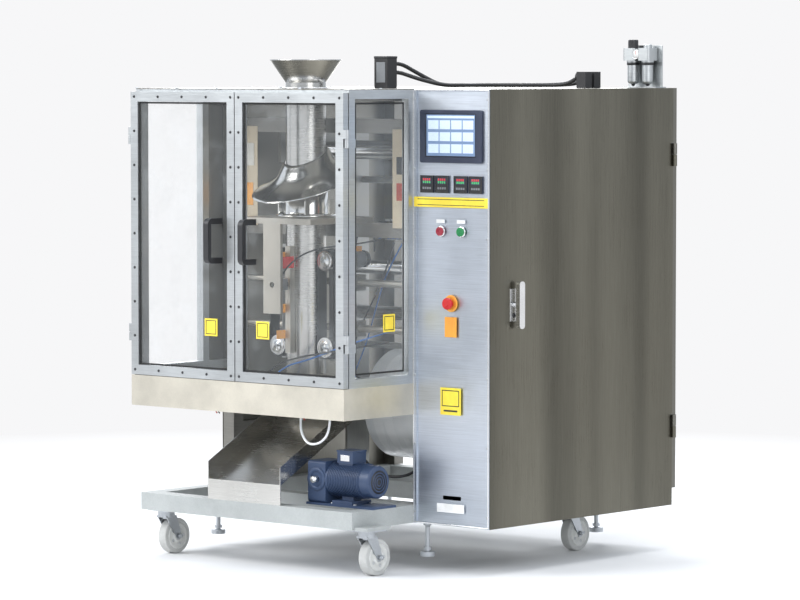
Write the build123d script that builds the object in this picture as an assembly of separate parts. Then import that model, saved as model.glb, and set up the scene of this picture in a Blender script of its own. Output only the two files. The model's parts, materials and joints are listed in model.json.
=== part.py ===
from build123d import *
import math
import os

# Vertical form fill sealer. Millimetres, +Z up, front towards -Y, +X to the right of someone facing
# the front. The origin is on the floor, under the middle of the machine's box.

# Overall
BODY_W = 1330.0
BODY_TOP = 1635.0
WHEEL_R = 62.5
CASTER_HEAD = 35.0
UNDERSIDE = 2 * WHEEL_R + CASTER_HEAD
CABINET_W = 335.0
CABINET_D = 1030.0
GUARD_OUT = 360.0
HANDLE_OUT = 60.0
SIDE_OUT = 32.0

X_LEFT = -BODY_W / 2
X_RIGHT = BODY_W / 2
X_CAB = X_RIGHT - CABINET_W
DEPTH = CABINET_D + GUARD_OUT + HANDLE_OUT
Y_HANDLE = -DEPTH / 2
Y_GUARD = Y_HANDLE + HANDLE_OUT
Y_STRIP = Y_GUARD + GUARD_OUT
Y_REAR = DEPTH / 2
XC = (X_LEFT + X_CAB) / 2
YC = Y_STRIP

# Fits
RUN = 0.05
SHEET = 2.0

# Frame
BEAM = 60.0
POST = 50.0
Y_POST = Y_STRIP + 100.0
POST_ZTOP = BODY_TOP - 3.0
BEAM_LOW_Z = 590.0
BEAM_MID_Z = 1145.0
BEAM_TOP_Z = 1505.0

# Guard box and doors
TABLE_H = 106.0
TABLE_Z = 530.0
RAIL = 30.0
DOOR_T = 25.0
DOOR_STILE = 34.0
DOOR_H = 985.0
PANE_T = 5.0
DOOR_GAP = 4.0
HINGE_R = 8.0
HINGE_PIN_R = 4.0
HINGE_H = 60.0
HINGE_ZS = (785.0, 1470.0)
DOOR_Z = TABLE_Z + TABLE_H + 2.0

# Forming set
TUBE_R = 70.0
TUBE_WALL = 2.0
TUBE_Z = 645.0
FUNNEL_R = 125.0
FUNNEL_H = 80.0
FUNNEL_TOP = BODY_TOP + 100.0
COLLAR_R = TUBE_R + 3.0
COLLAR_Z = 1190.0
COLLAR_H = 250.0

# Film
FILM_PLATE_T = 10.0
FILM_SPAN = 600.0
ROLL_R = 200.0
ROLL_W = 480.0
ROLL_CORE_R = 38.0
ROLL_Y = Y_STRIP + 775.0
ROLL_Z = 480.0
ROLL_ARM = 60.0
JOURNAL_R = 12.0
ROLLER_R = 25.0

# Pull belts
PULLEY_R = 35.0
BELT_T = 5.0
BELT_W = 46.0
BELT_TOP_Z = 1040.0
BELT_LOW_Z = 740.0
RAIL_R = 12.5
RAIL_ZS = (800.0, 960.0)
Y_RAIL = Y_POST + 25.0

# Jaws
JAW_Z = 590.0
JAW_OPEN = 45.0
JAW_W = 300.0
JAW_ROD_X = 210.0

# Casters and feet
WHEEL_W = 36.0
CASTER_TRAIL = 38.0
FRONT_CASTER_Y = Y_GUARD + 110.0
REAR_CASTER_Y = FRONT_CASTER_Y + 985.0
CASTERS = {
    "front_left": (X_LEFT + 60.0, FRONT_CASTER_Y),
    "front_right": (X_CAB + 5.0, FRONT_CASTER_Y),
    "rear_left": (X_LEFT + 60.0, REAR_CASTER_Y),
    "rear_right": (X_CAB + 85.0, REAR_CASTER_Y),
}
FOOT_R = 8.0
FEET = [(x, y) for x in (X_LEFT + 35.0, X_CAB + 25.0) for y in (Y_STRIP + 40.0, Y_REAR - 60.0)]
COLUMN_Y = Y_STRIP + 605.0


def box(x0, x1, y0, y1, z0, z1):
    """A block between two corners."""
    return Pos((x0 + x1) / 2, (y0 + y1) / 2, (z0 + z1) / 2) * Box(abs(x1 - x0), abs(y1 - y0), abs(z1 - z0))


def bar(axis, x, y, z, r, length):
    """A round bar centred at a point, along one axis."""
    turn = {"x": Rot(0, 90, 0), "y": Rot(90, 0, 0), "z": Rot(0, 0, 0)}[axis]
    return Pos(x, y, z) * turn * Cylinder(r, length)


def side_outline(x, points, thickness):
    """A plate cut to an outline in the side view."""
    edge = Polyline(*[(x, y, z) for y, z in points], close=True)
    return extrude(make_face(edge), thickness, dir=(1, 0, 0))


def save(node, *pieces):
    """Write one node, as one solid or as a group of separate ones."""
    solids = [s for piece in pieces for s in piece.solids()]
    shape = solids[0] if len(solids) == 1 else Compound(children=solids)
    shape.label = node
    export_step(shape, "parts/" + node + ".step")


def base_frame():
    """Welded floor frame with two front outriggers for the casters."""
    z0, z1 = UNDERSIDE, UNDERSIDE + BEAM
    front, back = Y_GUARD + 40, Y_REAR - 30
    left, inner, right = X_LEFT + 5, X_CAB - BEAM, X_RIGHT - 5
    frame = box(left, left + BEAM, front, back, z0, z1)
    frame += box(inner, inner + BEAM, front, back, z0, z1)
    frame += box(right - BEAM, right, Y_STRIP + 10, back, z0, z1)
    frame += box(left, inner + BEAM, front, front + BEAM, z0, z1)
    for y in (Y_STRIP + 10, back - BEAM):
        frame += box(left, right, y, y + BEAM, z0, z1)
    frame += box(left, right, COLUMN_Y - BEAM, COLUMN_Y + BEAM, z0, z1)
    for x, y in CASTERS.values():
        anchor = left if x < XC else inner
        frame += box(anchor, x + 55, y - 60, y + 60, z0, z0 + 10)
    for x, y in FEET:
        frame -= bar("z", x, y, z0, FOOT_R + RUN, 200)
    return frame


def upright_frame():
    """Four posts, the top ring and the cross beams that carry the forming set."""
    z0, z1 = UNDERSIDE + BEAM, POST_ZTOP
    x0, x1 = X_LEFT + 5, X_CAB - 5
    y0, y1 = Y_POST, Y_REAR - 5 - POST
    frame = None
    for x in (x0, x1 - POST):
        for y in (y0, y1):
            post = box(x, x + POST, y, y + POST, z0, z1)
            frame = post if frame is None else frame + post
        frame += box(x, x + POST, y0, y1, z1 - POST, z1)
        frame += box(x, x + POST, y0, y1, BEAM_LOW_Z - 200, BEAM_LOW_Z - 150)
    frame += box(x0, x1, y1, y1 + POST, z1 - POST, z1)
    for z in (BEAM_LOW_Z, BEAM_MID_Z, BEAM_TOP_Z):
        frame += box(x0, x1, y0, y0 + POST, z - POST / 2, z + POST / 2)
    frame -= bar("y", XC, y0 + POST / 2, JAW_Z, 10, POST + 2)
    return frame


# --- Electrical cabinet -----------------------------------------------------------------------

PANEL_T = 3.0
DOOR_SKIN = 2.0
DOOR_BORDER = 60.0
CAB_Z0 = UNDERSIDE + BEAM
SCREEN_W, SCREEN_H, SCREEN_Z = 272.0, 178.0, 1475.5
CTRL_W, CTRL_PITCH, CTRL_Z = 58.0, 66.0, 1314.5
BUTTON_R, BUTTON_Z, BUTTON_DX = 13.0, 1156.0, 45.0
ESTOP_R, ESTOP_Z = 20.0, 914.0
BUTTON_BORE = 11.0
X_PANEL = X_CAB + CABINET_W / 2
CTRL_GROUP = 74.0
CTRL_XS = tuple(X_PANEL + g * CTRL_GROUP + k * CTRL_PITCH / 2 for g in (-1, 1) for k in (-1, 1))
LATCH_Y, LATCH_Z = Y_STRIP + 130.0, 910.0
LATCH_R = 9.0
CAB_HINGE_ZS = (420.0, 1380.0)
CAB_HINGE_X = X_RIGHT + 6.0
CAB_HINGE_Y = Y_REAR - 20.0


def cabinet_shell():
    """Sheet enclosure, open at the front for the control panel and at the right for the door."""
    x0, x1 = X_CAB, X_RIGHT - DOOR_SKIN
    y0, y1 = Y_STRIP + PANEL_T, Y_REAR
    shell = box(x0, x1, y0, y1, CAB_Z0, BODY_TOP)
    shell -= box(x0 + SHEET, x1 + 1, y0 - 1, y1 - SHEET, CAB_Z0 + SHEET, BODY_TOP - SHEET)
    lip = box(x1 - 20, x1, y0, y1 - SHEET, CAB_Z0 + SHEET, BODY_TOP - SHEET)
    lip -= box(x1 - 21, x1 + 1, y0 + 45, y1 - 45, CAB_Z0 + 12, BODY_TOP - 60)
    shell += lip
    for k in range(5):
        shell -= bar("y", x0 + 70 + 50 * k, Y_REAR, 1500, 12, 20)
    return shell


def control_panel():
    """Front plate of the cabinet with a return down each edge and cut-outs for what it carries."""
    y0, y1 = Y_STRIP, Y_STRIP + PANEL_T
    x0, x1 = X_CAB, X_RIGHT
    panel = box(x0, x1 - DOOR_SKIN, y0, y1, UNDERSIDE, BODY_TOP)
    for x in (x0, x1 - DOOR_SKIN - 14):
        panel += box(x, x + 14, y0 - 6, y0, UNDERSIDE, BODY_TOP)
    panel -= box(X_PANEL - SCREEN_W / 2 + 8, X_PANEL + SCREEN_W / 2 - 8, y0 - 1, y1 + 1,
                 SCREEN_Z - SCREEN_H / 2 + 8, SCREEN_Z + SCREEN_H / 2 - 8)
    for x in CTRL_XS:
        half = CTRL_W / 2 - 4
        panel -= box(x - half, x + half, y0 - 1, y1 + 1, CTRL_Z - half, CTRL_Z + half)
    for x, z in ((X_PANEL - BUTTON_DX, BUTTON_Z), (X_PANEL + BUTTON_DX, BUTTON_Z), (X_PANEL, ESTOP_Z)):
        panel -= bar("y", x, y0, z, BUTTON_BORE + RUN, 20)
    panel -= box(X_PANEL - 40, X_PANEL + 40, y0 - 1, y1 + 1, 248, 262)
    return panel


def screen_unit():
    """Operator screen: a bezel in front of the panel and a body through the cut-out."""
    w, h = SCREEN_W / 2, SCREEN_H / 2
    bezel = box(X_PANEL - w, X_PANEL + w, Y_STRIP - 9, Y_STRIP, SCREEN_Z - h, SCREEN_Z + h)
    bezel = fillet(bezel.edges().filter_by(Axis.Y), 8)
    bezel += box(X_PANEL - w + 9, X_PANEL + w - 9, Y_STRIP, Y_STRIP + 52, SCREEN_Z - h + 9, SCREEN_Z + h - 9)
    gx, gz = w - 28, h - 22
    bezel -= box(X_PANEL - gx, X_PANEL + gx, Y_STRIP - 10, Y_STRIP - 6, SCREEN_Z - gz, SCREEN_Z + gz + 8)
    glass = box(X_PANEL - gx, X_PANEL + gx, Y_STRIP - 8, Y_STRIP - 6, SCREEN_Z - gz, SCREEN_Z + gz + 8)
    return bezel, glass


def controllers():
    """Four square temperature controllers in two pairs."""
    units = []
    for x in CTRL_XS:
        h = CTRL_W / 2
        unit = box(x - h, x + h, Y_STRIP - 6, Y_STRIP, CTRL_Z - h, CTRL_Z + h)
        unit += box(x - h + 5, x + h - 5, Y_STRIP, Y_STRIP + 80, CTRL_Z - h + 5, CTRL_Z + h - 5)
        unit -= box(x - h + 7, x + h - 7, Y_STRIP - 7, Y_STRIP - 4.5, CTRL_Z - 4, CTRL_Z + h - 6)
        units.append(unit)
    return units


def button(x, z, head_r, proud):
    """A pushbutton: a stem in its hole and a head in front of the panel."""
    stem = bar("y", x, Y_STRIP - 4 + 20, z, BUTTON_BORE, 40)
    head = bar("y", x, Y_STRIP - 4 - proud / 2, z, head_r, proud)
    head = fillet(head.edges().filter_by(GeomType.CIRCLE).sort_by(Axis.Y)[0], 2)
    return stem + head


def emergency_stop():
    """Mushroom head on a stem."""
    stem = bar("y", X_PANEL, Y_STRIP + 12, ESTOP_Z, BUTTON_BORE, 60)
    head = bar("y", X_PANEL, Y_STRIP - 25, ESTOP_Z, ESTOP_R, 14)
    return stem + fillet(head.edges().filter_by(GeomType.CIRCLE), 5)


def cabinet_door():
    """Door pan that covers the right side, hinged at the rear edge."""
    x0, x1 = X_RIGHT - DOOR_SKIN, X_RIGHT
    y0, y1 = Y_STRIP, CAB_HINGE_Y - 2
    z0, z1 = UNDERSIDE, BODY_TOP
    door = box(x0, x1, y0, y1, z0, z1)
    by, bz = y0 + DOOR_BORDER, z0 + 80
    door += box(x0 - 20, x0, by, y1 - DOOR_BORDER, bz, z1 - 65)
    door -= box(x0 - 21, x0, by + SHEET, y1 - DOOR_BORDER - SHEET, bz + SHEET, z1 - 65 - SHEET)
    door -= bar("x", X_RIGHT, LATCH_Y, LATCH_Z, LATCH_R + RUN, 10)
    for z in CAB_HINGE_ZS:
        door += bar("z", CAB_HINGE_X, CAB_HINGE_Y, z, 8, 40)
        door -= bar("z", CAB_HINGE_X, CAB_HINGE_Y, z, 4 + RUN, 42)
        door -= box(x0 - 1, x1 + 1, y1 - 12, y1 + 1, z + 20, z + 64)
    return door


def cabinet_hinges():
    """Fixed halves of the two cabinet hinges, with their pins."""
    out = []
    for z in CAB_HINGE_ZS:
        leaf = box(X_RIGHT - DOOR_SKIN, X_RIGHT + 1, CAB_HINGE_Y, Y_REAR, z + 22, z + 60)
        leaf += bar("z", CAB_HINGE_X, CAB_HINGE_Y, z + 41, 8, 38)
        leaf += bar("z", CAB_HINGE_X, CAB_HINGE_Y, z + 20, 4, 80)
        out.append(leaf)
    return out


def door_handle():
    """Swing handle: a round boss through the door and an upright grip."""
    grip = box(X_RIGHT + 14, X_RIGHT + SIDE_OUT, LATCH_Y - 14, LATCH_Y + 14, LATCH_Z - 80, LATCH_Z + 80)
    grip = fillet(grip.edges().filter_by(Axis.X), 12)
    boss = bar("x", X_RIGHT + 5, LATCH_Y, LATCH_Z, LATCH_R, 30)
    cam = box(X_RIGHT - 14, X_RIGHT - 10, LATCH_Y - 30, LATCH_Y + 10, LATCH_Z - 8, LATCH_Z + 8)
    return grip + boss + cam


def electrical_rack():
    """Mounting plate with drives, relays and slotted trunking."""
    x0 = X_CAB + SHEET + 12
    plate = box(x0, x0 + 3, Y_STRIP + 120, Y_REAR - 40, 280, 1580)
    pieces = [plate]
    for k in range(4):
        y = Y_STRIP + 180 + 170 * k
        pieces.append(box(x0 + 3, x0 + 190, y, y + 110, 1180, 1480))
    for k in range(9):
        y = Y_STRIP + 170 + 78 * k
        pieces.append(box(x0 + 3, x0 + 75, y, y + 40, 900, 1000))
    for k in range(5):
        y = Y_STRIP + 180 + 140 * k
        pieces.append(box(x0 + 3, x0 + 130, y, y + 100, 540, 700))
    for z in (1060.0, 780.0, 400.0):
        pieces.append(box(x0 + 3, x0 + 63, Y_STRIP + 140, Y_REAR - 60, z, z + 60))
    for z in (500.0, 1300.0):
        for y in (Y_STRIP + 135, Y_REAR - 80):
            pieces.append(bar("x", X_CAB + SHEET + 6, y, z, 6, 12))
    return pieces


# --- Guard box, doors and covers --------------------------------------------------------------

DOOR_W = (X_CAB - X_LEFT - 2 - DOOR_GAP) / 2
HANDLE_DX, HANDLE_Z, HANDLE_H, HANDLE_W = 80.0, 1116.0, 155.0, 22.0
HINGE_Y = Y_GUARD + HINGE_R
HINGE_XS = (X_LEFT - HINGE_R, X_CAB + HINGE_R)
TUBE_HOLE = TUBE_R + 8


def front_table():
    """Formed sheet beam across the front of the guard box, with a wing down each side."""
    z0, z1 = TABLE_Z, TABLE_Z + TABLE_H
    table = box(X_LEFT, X_CAB, Y_GUARD, Y_GUARD + 60, z0, z1)
    for x in (X_LEFT, X_CAB - RAIL):
        table += box(x, x + RAIL, Y_GUARD, Y_POST, z0, z1)
    hollow = box(X_LEFT + 3, X_CAB - 3, Y_GUARD + 3, Y_GUARD + 57, z0 - 1, z1 - 3)
    for x in (X_LEFT, X_CAB - RAIL):
        hollow += box(x + 3, x + RAIL - 3, Y_GUARD + 3, Y_POST - 3, z0 - 1, z1 - 3)
    return table - hollow


def guard_frame():
    """Square-tube frame of the guard box, with the fixed hinge halves on its front corners."""
    z0, z1 = TABLE_Z + TABLE_H, POST_ZTOP
    front = Y_GUARD + DOOR_T + 2
    frame = box(X_LEFT, X_CAB, front, front + RAIL, z1 - RAIL, z1)
    for x in (X_LEFT, X_CAB - RAIL):
        frame += box(x, x + RAIL, front, front + RAIL, z0, z1)
        frame += box(x, x + RAIL, Y_STRIP - RAIL, Y_STRIP, z0, z1)
        frame += box(x, x + RAIL, front, Y_POST, z1 - RAIL, z1)
        frame += box(x, x + RAIL, front, Y_POST, z0, z0 + RAIL)
    for x, side in zip(HINGE_XS, (-1, 1)):
        edge = X_LEFT if side < 0 else X_CAB
        for z in HINGE_ZS:
            frame += box(edge, edge + side * 3, HINGE_Y, front + RAIL, z - HINGE_H / 2, z - 1)
            frame += bar("z", x, HINGE_Y, z - HINGE_H / 4 - 0.5, HINGE_R, HINGE_H / 2 - 1)
            frame += bar("z", x, HINGE_Y, z, HINGE_PIN_R, HINGE_H)
    return frame


def side_panes():
    """Clear sheets in the two sides of the guard box."""
    z0, z1 = TABLE_Z + TABLE_H + RAIL, POST_ZTOP - RAIL
    y0, y1 = Y_GUARD + DOOR_T + 2 + RAIL, Y_STRIP - RAIL
    centres = (X_LEFT + RAIL / 2, X_CAB - RAIL / 2)
    return [box(x - PANE_T / 2, x + PANE_T / 2, y0, y1, z0, z1) for x in centres]


def guard_door(side):
    """One leaf: stile frame with its moving hinge halves, the clear pane, and a bridge handle."""
    hinge_x = HINGE_XS[0] if side < 0 else HINGE_XS[1]
    outer = X_LEFT if side < 0 else X_CAB - 2
    inner = XC + side * DOOR_GAP / 2 - 1
    x0, x1 = sorted((outer, inner))
    z0, z1 = DOOR_Z, DOOR_Z + DOOR_H
    s = DOOR_STILE
    leaf = box(x0, x1, Y_GUARD, Y_GUARD + DOOR_T, z0, z1)
    leaf -= box(x0 + s, x1 - s, Y_GUARD - 1, Y_GUARD + DOOR_T + 1, z0 + s, z1 - s)
    for z in HINGE_ZS:
        leaf += box(outer - side * 10, hinge_x, Y_GUARD, Y_GUARD + 6, z + 1, z + HINGE_H / 2)
        leaf += bar("z", hinge_x, HINGE_Y, z + HINGE_H / 4 + 0.5, HINGE_R, HINGE_H / 2 - 1)
        leaf -= bar("z", hinge_x, HINGE_Y, z + HINGE_H / 4, HINGE_PIN_R + RUN, HINGE_H / 2 + 4)
    pane = box(x0 + s, x1 - s, Y_GUARD + 10, Y_GUARD + 10 + PANE_T, z0 + s, z1 - s)
    hx = XC + side * HANDLE_DX
    back = Y_GUARD + 10
    low, high = HANDLE_Z - HANDLE_H / 2, HANDLE_Z + HANDLE_H / 2
    handle = box(hx - HANDLE_W / 2, hx + HANDLE_W / 2, Y_HANDLE, back, low, high)
    handle = fillet(handle.edges().filter_by(Axis.X).group_by(Axis.Y)[0], 22)
    slot = box(hx - HANDLE_W, hx + HANDLE_W, Y_HANDLE + 16, back + 1, low + 20, high - 20)
    handle -= slot
    return leaf, pane, handle


def covers():
    """Top plate over the guard box and frame, with the tube hole, and the left side panel."""
    top = box(X_LEFT, X_CAB, Y_GUARD + DOOR_T + 2, Y_REAR, POST_ZTOP, BODY_TOP)
    top -= bar("z", XC, YC, BODY_TOP, TUBE_HOLE, 20)
    left = box(X_LEFT, X_LEFT + SHEET, Y_POST, Y_REAR, UNDERSIDE, POST_ZTOP)
    left += box(X_LEFT, X_LEFT + SHEET, Y_STRIP, Y_POST, TABLE_Z + TABLE_H + RAIL, POST_ZTOP - RAIL)
    y, z = (Y_POST + Y_REAR) / 2, HANDLE_Z
    grip = box(X_LEFT - SIDE_OUT, X_LEFT, y - 12, y + 12, z - 75, z + 75)
    grip = fillet(grip.edges().filter_by(Axis.Y).group_by(Axis.X)[0], 14)
    grip -= box(X_LEFT - SIDE_OUT + 12, X_LEFT + 1, y - 20, y + 20, z - 58, z + 58)
    return top, left, grip


# --- Film unwind and guide rollers ------------------------------------------------------------

PLATE_XS = (XC - FILM_SPAN / 2, XC + FILM_SPAN / 2)
ROLLERS = {
    "lower_guide_roller": (COLUMN_Y, 820.0),
    "upper_guide_roller": (COLUMN_Y - 80, 1420.0),
    "infeed_guide_roller": (Y_STRIP + 240.0, 1420.0),
}
DANCER_PIVOT = (COLUMN_Y, 1120.0)
DANCER_TIP = (COLUMN_Y - 215, 1000.0)


def film_plates():
    """Two side plates that stand on the floor frame and carry the roll, the rollers and the dancer."""
    pieces = []
    yc, z0 = COLUMN_Y, UNDERSIDE + BEAM
    low, high = ROLL_Z - ROLL_ARM, ROLL_Z + ROLL_ARM
    foot = [(yc - 60, z0), (yc + 60, z0)]
    arm = [(yc + 60, low), (ROLL_Y + 60, low), (ROLL_Y + 60, high), (yc + 60, high)]
    head = [(yc + 60, 1480), (Y_STRIP + 190, 1480), (Y_STRIP + 190, 1370), (yc - 60, 1370)]
    outline = foot + arm + head
    for x in PLATE_XS:
        plate = side_outline(x - FILM_PLATE_T / 2, outline, FILM_PLATE_T)
        for y, z in list(ROLLERS.values()) + [DANCER_PIVOT, (ROLL_Y, ROLL_Z)]:
            plate -= bar("x", x, y, z, JOURNAL_R + RUN, 40)
        plate += box(x - 25, x + 25, yc - 60, yc + 60, z0, z0 + 10)
        pieces.append(plate)
    inner = FILM_SPAN - FILM_PLATE_T
    for y, z in ((yc + 30, 700), (yc + 30, 1300), (Y_STRIP + 330, 1395)):
        pieces.append(bar("x", XC, y, z, 12, inner))
    return pieces


def roller(y, z, radius):
    """A tube roller with a stub journal at each end."""
    body = bar("x", XC, y, z, radius, FILM_SPAN - FILM_PLATE_T - 20)
    return body + bar("x", XC, y, z, JOURNAL_R, FILM_SPAN + FILM_PLATE_T + 8)


def unwind_shaft():
    """Shaft with two chucks that hold the roll core."""
    shaft = bar("x", XC, ROLL_Y, ROLL_Z, 18, FILM_SPAN - FILM_PLATE_T - 4)
    shaft += bar("x", XC, ROLL_Y, ROLL_Z, JOURNAL_R, FILM_SPAN + FILM_PLATE_T + 10)
    for side in (-1, 1):
        end = XC + side * ROLL_W / 2
        shaft += bar("x", end - side * 15, ROLL_Y, ROLL_Z, ROLL_CORE_R, 30)
        shaft += bar("x", end + side * 6, ROLL_Y, ROLL_Z, ROLL_CORE_R + 14, 12)
    return shaft


def film_roll():
    """Wound film on its core."""
    core_hole = bar("x", XC, ROLL_Y, ROLL_Z, ROLL_CORE_R, ROLL_W + 2)
    return bar("x", XC, ROLL_Y, ROLL_Z, ROLL_R, ROLL_W) - core_hole


def dancer_arm():
    """Two arms on a cross shaft that turns in the side plates."""
    (py, pz), (ty, tz) = DANCER_PIVOT, DANCER_TIP
    frame = bar("x", XC, py, pz, JOURNAL_R, FILM_SPAN + FILM_PLATE_T + 8)
    frame += bar("x", XC, py, pz, 16, FILM_SPAN - FILM_PLATE_T - 2)
    arm_x = FILM_SPAN / 2 - FILM_PLATE_T / 2 - 16
    for side in (-1, 1):
        slab = SlotCenterToCenter(((ty - py) ** 2 + (tz - pz) ** 2) ** 0.5, 44)
        middle = (XC + side * arm_x, (py + ty) / 2, (pz + tz) / 2)
        plane = Plane(origin=middle, x_dir=(0, ty - py, tz - pz), z_dir=(1, 0, 0))
        frame += extrude(plane * slab, 5, both=True)
    frame -= bar("x", XC, ty, tz, 8 + RUN, FILM_SPAN)
    return frame


def dancer_roller():
    """Roller carried between the dancer arms."""
    y, z = DANCER_TIP
    arm_x = FILM_SPAN / 2 - FILM_PLATE_T / 2 - 16
    return bar("x", XC, y, z, ROLLER_R, 2 * arm_x - 12) + bar("x", XC, y, z, 8, 2 * arm_x + 12)


# --- Forming tube, collar and film belts ------------------------------------------------------

BELT_X = TUBE_R + 1 + BELT_T + PULLEY_R
BELT_Y = YC
CARRIAGE_Y = BELT_Y + 45
SEAL_TRAVEL = 20.0
SEAL_Z = (720.0, 1090.0)
SEAL_ROD_Z = 960.0


def forming_tube():
    """Thin tube with the product funnel welded to its top."""
    top, neck = FUNNEL_TOP, FUNNEL_TOP - FUNNEL_H
    r, w = TUBE_R, TUBE_WALL
    outer = [(r, TUBE_Z), (r, neck), (FUNNEL_R, top)]
    inner = [(FUNNEL_R - w, top), (r - w, neck + 1), (r - w, TUBE_Z)]
    points = outer + inner
    outline = Polyline(*[(x, 0, z) for x, z in points], close=True)
    return Pos(XC, YC, 0) * revolve(make_face(outline), Axis.Z)


def forming_collar():
    """Sleeve round the tube under a flared, forward-leaning shoulder, on a bolted flange."""
    sleeve = Cylinder(COLLAR_R + 3, COLLAR_H, align=(Align.CENTER, Align.CENTER, Align.MIN))
    lean = Rot(20, 0, 0)
    shoulder = lean * Cone(190, COLLAR_R + 6, 120)
    hollow = lean * Cone(186, COLLAR_R + 2, 120)
    cut = Pos(0, 0, 60 + 200) * Box(600, 600, 400)
    shoulder = Pos(0, 0, COLLAR_H - 70) * (shoulder - hollow)
    sleeve -= Pos(0, 0, COLLAR_H - 70) * (lean * cut)
    collar = sleeve + shoulder
    collar += Cylinder(COLLAR_R + 30, 8, align=(Align.CENTER, Align.CENTER, Align.MIN))
    collar -= Cylinder(COLLAR_R, 3 * COLLAR_H)
    return Pos(XC, YC, COLLAR_Z) * collar


def former_support():
    """Plate under the collar, carried on the middle cross beam, with the seal cylinder's hanger."""
    z0 = BEAM_MID_Z + POST / 2
    plate = box(XC - 180, XC + 180, YC - 175, Y_POST + POST, z0, COLLAR_Z)
    plate -= bar("z", XC, YC, z0, COLLAR_R, 100)
    hanger = box(XC - 40, XC + 40, YC - 175, YC - 163, 860, z0)
    hanger -= bar("y", XC, YC - 170, SEAL_ROD_Z, 10, 30)
    rails = [bar("x", XC, Y_RAIL, z, RAIL_R, X_CAB - X_LEFT - 10 - 2 * POST) for z in RAIL_ZS]
    return [plate, hanger] + rails


def belt_carriage(side):
    """Sliding plate with two bushed blocks on the rails and the belt motor on its back."""
    x = XC + side * BELT_X
    plate = box(x - 33, x + 33, CARRIAGE_Y - 12, CARRIAGE_Y, BELT_LOW_Z - 50, BELT_TOP_Z + 50)
    for z in RAIL_ZS:
        plate += box(x - 30, x + 30, CARRIAGE_Y, Y_RAIL + 30, z - 28, z + 28)
        plate -= bar("x", x, Y_RAIL, z, RAIL_R + RUN, 100)
    for z in (BELT_LOW_Z, BELT_TOP_Z):
        plate -= bar("y", x, CARRIAGE_Y, z, 8 + RUN, 60)
    motor = box(x - 32, x + 32, CARRIAGE_Y, CARRIAGE_Y + 60, BELT_TOP_Z - 32, BELT_TOP_Z + 32)
    motor += bar("y", x, CARRIAGE_Y + 100, BELT_TOP_Z, 28, 80)
    motor -= bar("y", x, CARRIAGE_Y, BELT_TOP_Z, 8 + RUN, 60)
    return plate, motor


def belt(side):
    """Flat belt in a long loop round its two pulleys."""
    x = XC + side * BELT_X
    zc, gap = (BELT_LOW_Z + BELT_TOP_Z) / 2, BELT_TOP_Z - BELT_LOW_Z
    plane = Plane(origin=(x, BELT_Y, zc), x_dir=(0, 0, 1), z_dir=(0, -1, 0))
    outer = SlotCenterToCenter(gap, 2 * (PULLEY_R + BELT_T + RUN))
    inner = SlotCenterToCenter(gap, 2 * (PULLEY_R + RUN))
    return extrude(plane * (outer - inner), BELT_W / 2, both=True)


def pulley(side, z):
    """Belt pulley on its shaft."""
    x = XC + side * BELT_X
    shaft = bar("y", x, CARRIAGE_Y - 10, z, 8, 36)
    return bar("y", x, BELT_Y, z, PULLEY_R, BELT_W + 6) + bar("y", x, BELT_Y + 30, z, 8, 60) + shaft


def seal_bar():
    """Heated bar that presses the film overlap on the tube, on its piston rod."""
    y1 = YC - TUBE_R - 2
    seal = box(XC - 12, XC + 12, y1 - 22, y1, SEAL_Z[0], SEAL_Z[1])
    seal += bar("y", XC, y1 - 22 - 24, SEAL_ROD_Z, 6, 48)
    return seal


def cylinders():
    """Air cylinders of the seal bar and of the two jaws."""
    y1 = YC - TUBE_R - 2 - 22
    seal_front, seal_back = y1 - SEAL_TRAVEL - 1, YC - 163
    seal = box(XC - 20, XC + 20, seal_back, seal_front, SEAL_ROD_Z - 20, SEAL_ROD_Z + 20)
    seal -= bar("y", XC, y1 - 55, SEAL_ROD_Z, 6 + RUN, 120)
    y_front = YC - JAW_OPEN - 45
    front = bar("y", XC, y_front - 120, JAW_Z, 25, 90) - bar("y", XC, y_front - 110, JAW_Z, 8 + RUN, 120)
    y_rear = Y_POST + POST
    rear = bar("y", XC, y_rear + 60, JAW_Z, 25, 120) - bar("y", XC, y_rear + 20, JAW_Z, 8 + RUN, 160)
    return seal, front, rear


# --- Jaws -------------------------------------------------------------------------------------

JAW_FRAME_Y = YC - 255.0


def jaw_frame():
    """U-shaped frame in front of the lower cross beam, with the two guide rods."""
    plate = box(XC - 262, XC + 262, JAW_FRAME_Y - 15, JAW_FRAME_Y, JAW_Z - 35, JAW_Z + 35)
    plate -= bar("y", XC, JAW_FRAME_Y, JAW_Z, 12, 60)
    sides = [box(XC + s * 262, XC + s * 252, JAW_FRAME_Y, Y_POST, JAW_Z - 25, JAW_Z + 25) for s in (-1, 1)]
    middle, reach = (JAW_FRAME_Y + Y_POST) / 2, Y_POST - JAW_FRAME_Y
    rods = [bar("y", XC + s * JAW_ROD_X, middle, JAW_Z, RAIL_R, reach) for s in (-1, 1)]
    return [plate] + sides + rods


def jaw(side):
    """Sealing bar on a carrier with two bushed holes, and the piston rod behind it."""
    face = YC + side * JAW_OPEN
    back = face + side * 15
    rear = back + side * 30
    piece = box(XC - JAW_W / 2, XC + JAW_W / 2, face, back, JAW_Z - 30, JAW_Z + 30)
    for k in range(6):
        z = JAW_Z - 25 + 10 * k
        piece -= box(XC - JAW_W / 2 - 1, XC + JAW_W / 2 + 1, face - 1.5, face + 1.5, z - 1.5, z + 1.5)
    piece += box(XC - 245, XC + 245, back, rear, JAW_Z - 25, JAW_Z + 25)
    for s in (-1, 1):
        piece -= bar("y", XC + s * JAW_ROD_X, back, JAW_Z, RAIL_R + RUN, 100)
    piece += bar("y", XC, rear + side * 70, JAW_Z, 8, 140)
    slot_y = sorted((face - side, face + side * 12))
    return piece - box(XC - JAW_W / 2 - 1, XC + JAW_W / 2 + 1, slot_y[0], slot_y[1], JAW_Z - 2, JAW_Z + 2)


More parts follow.
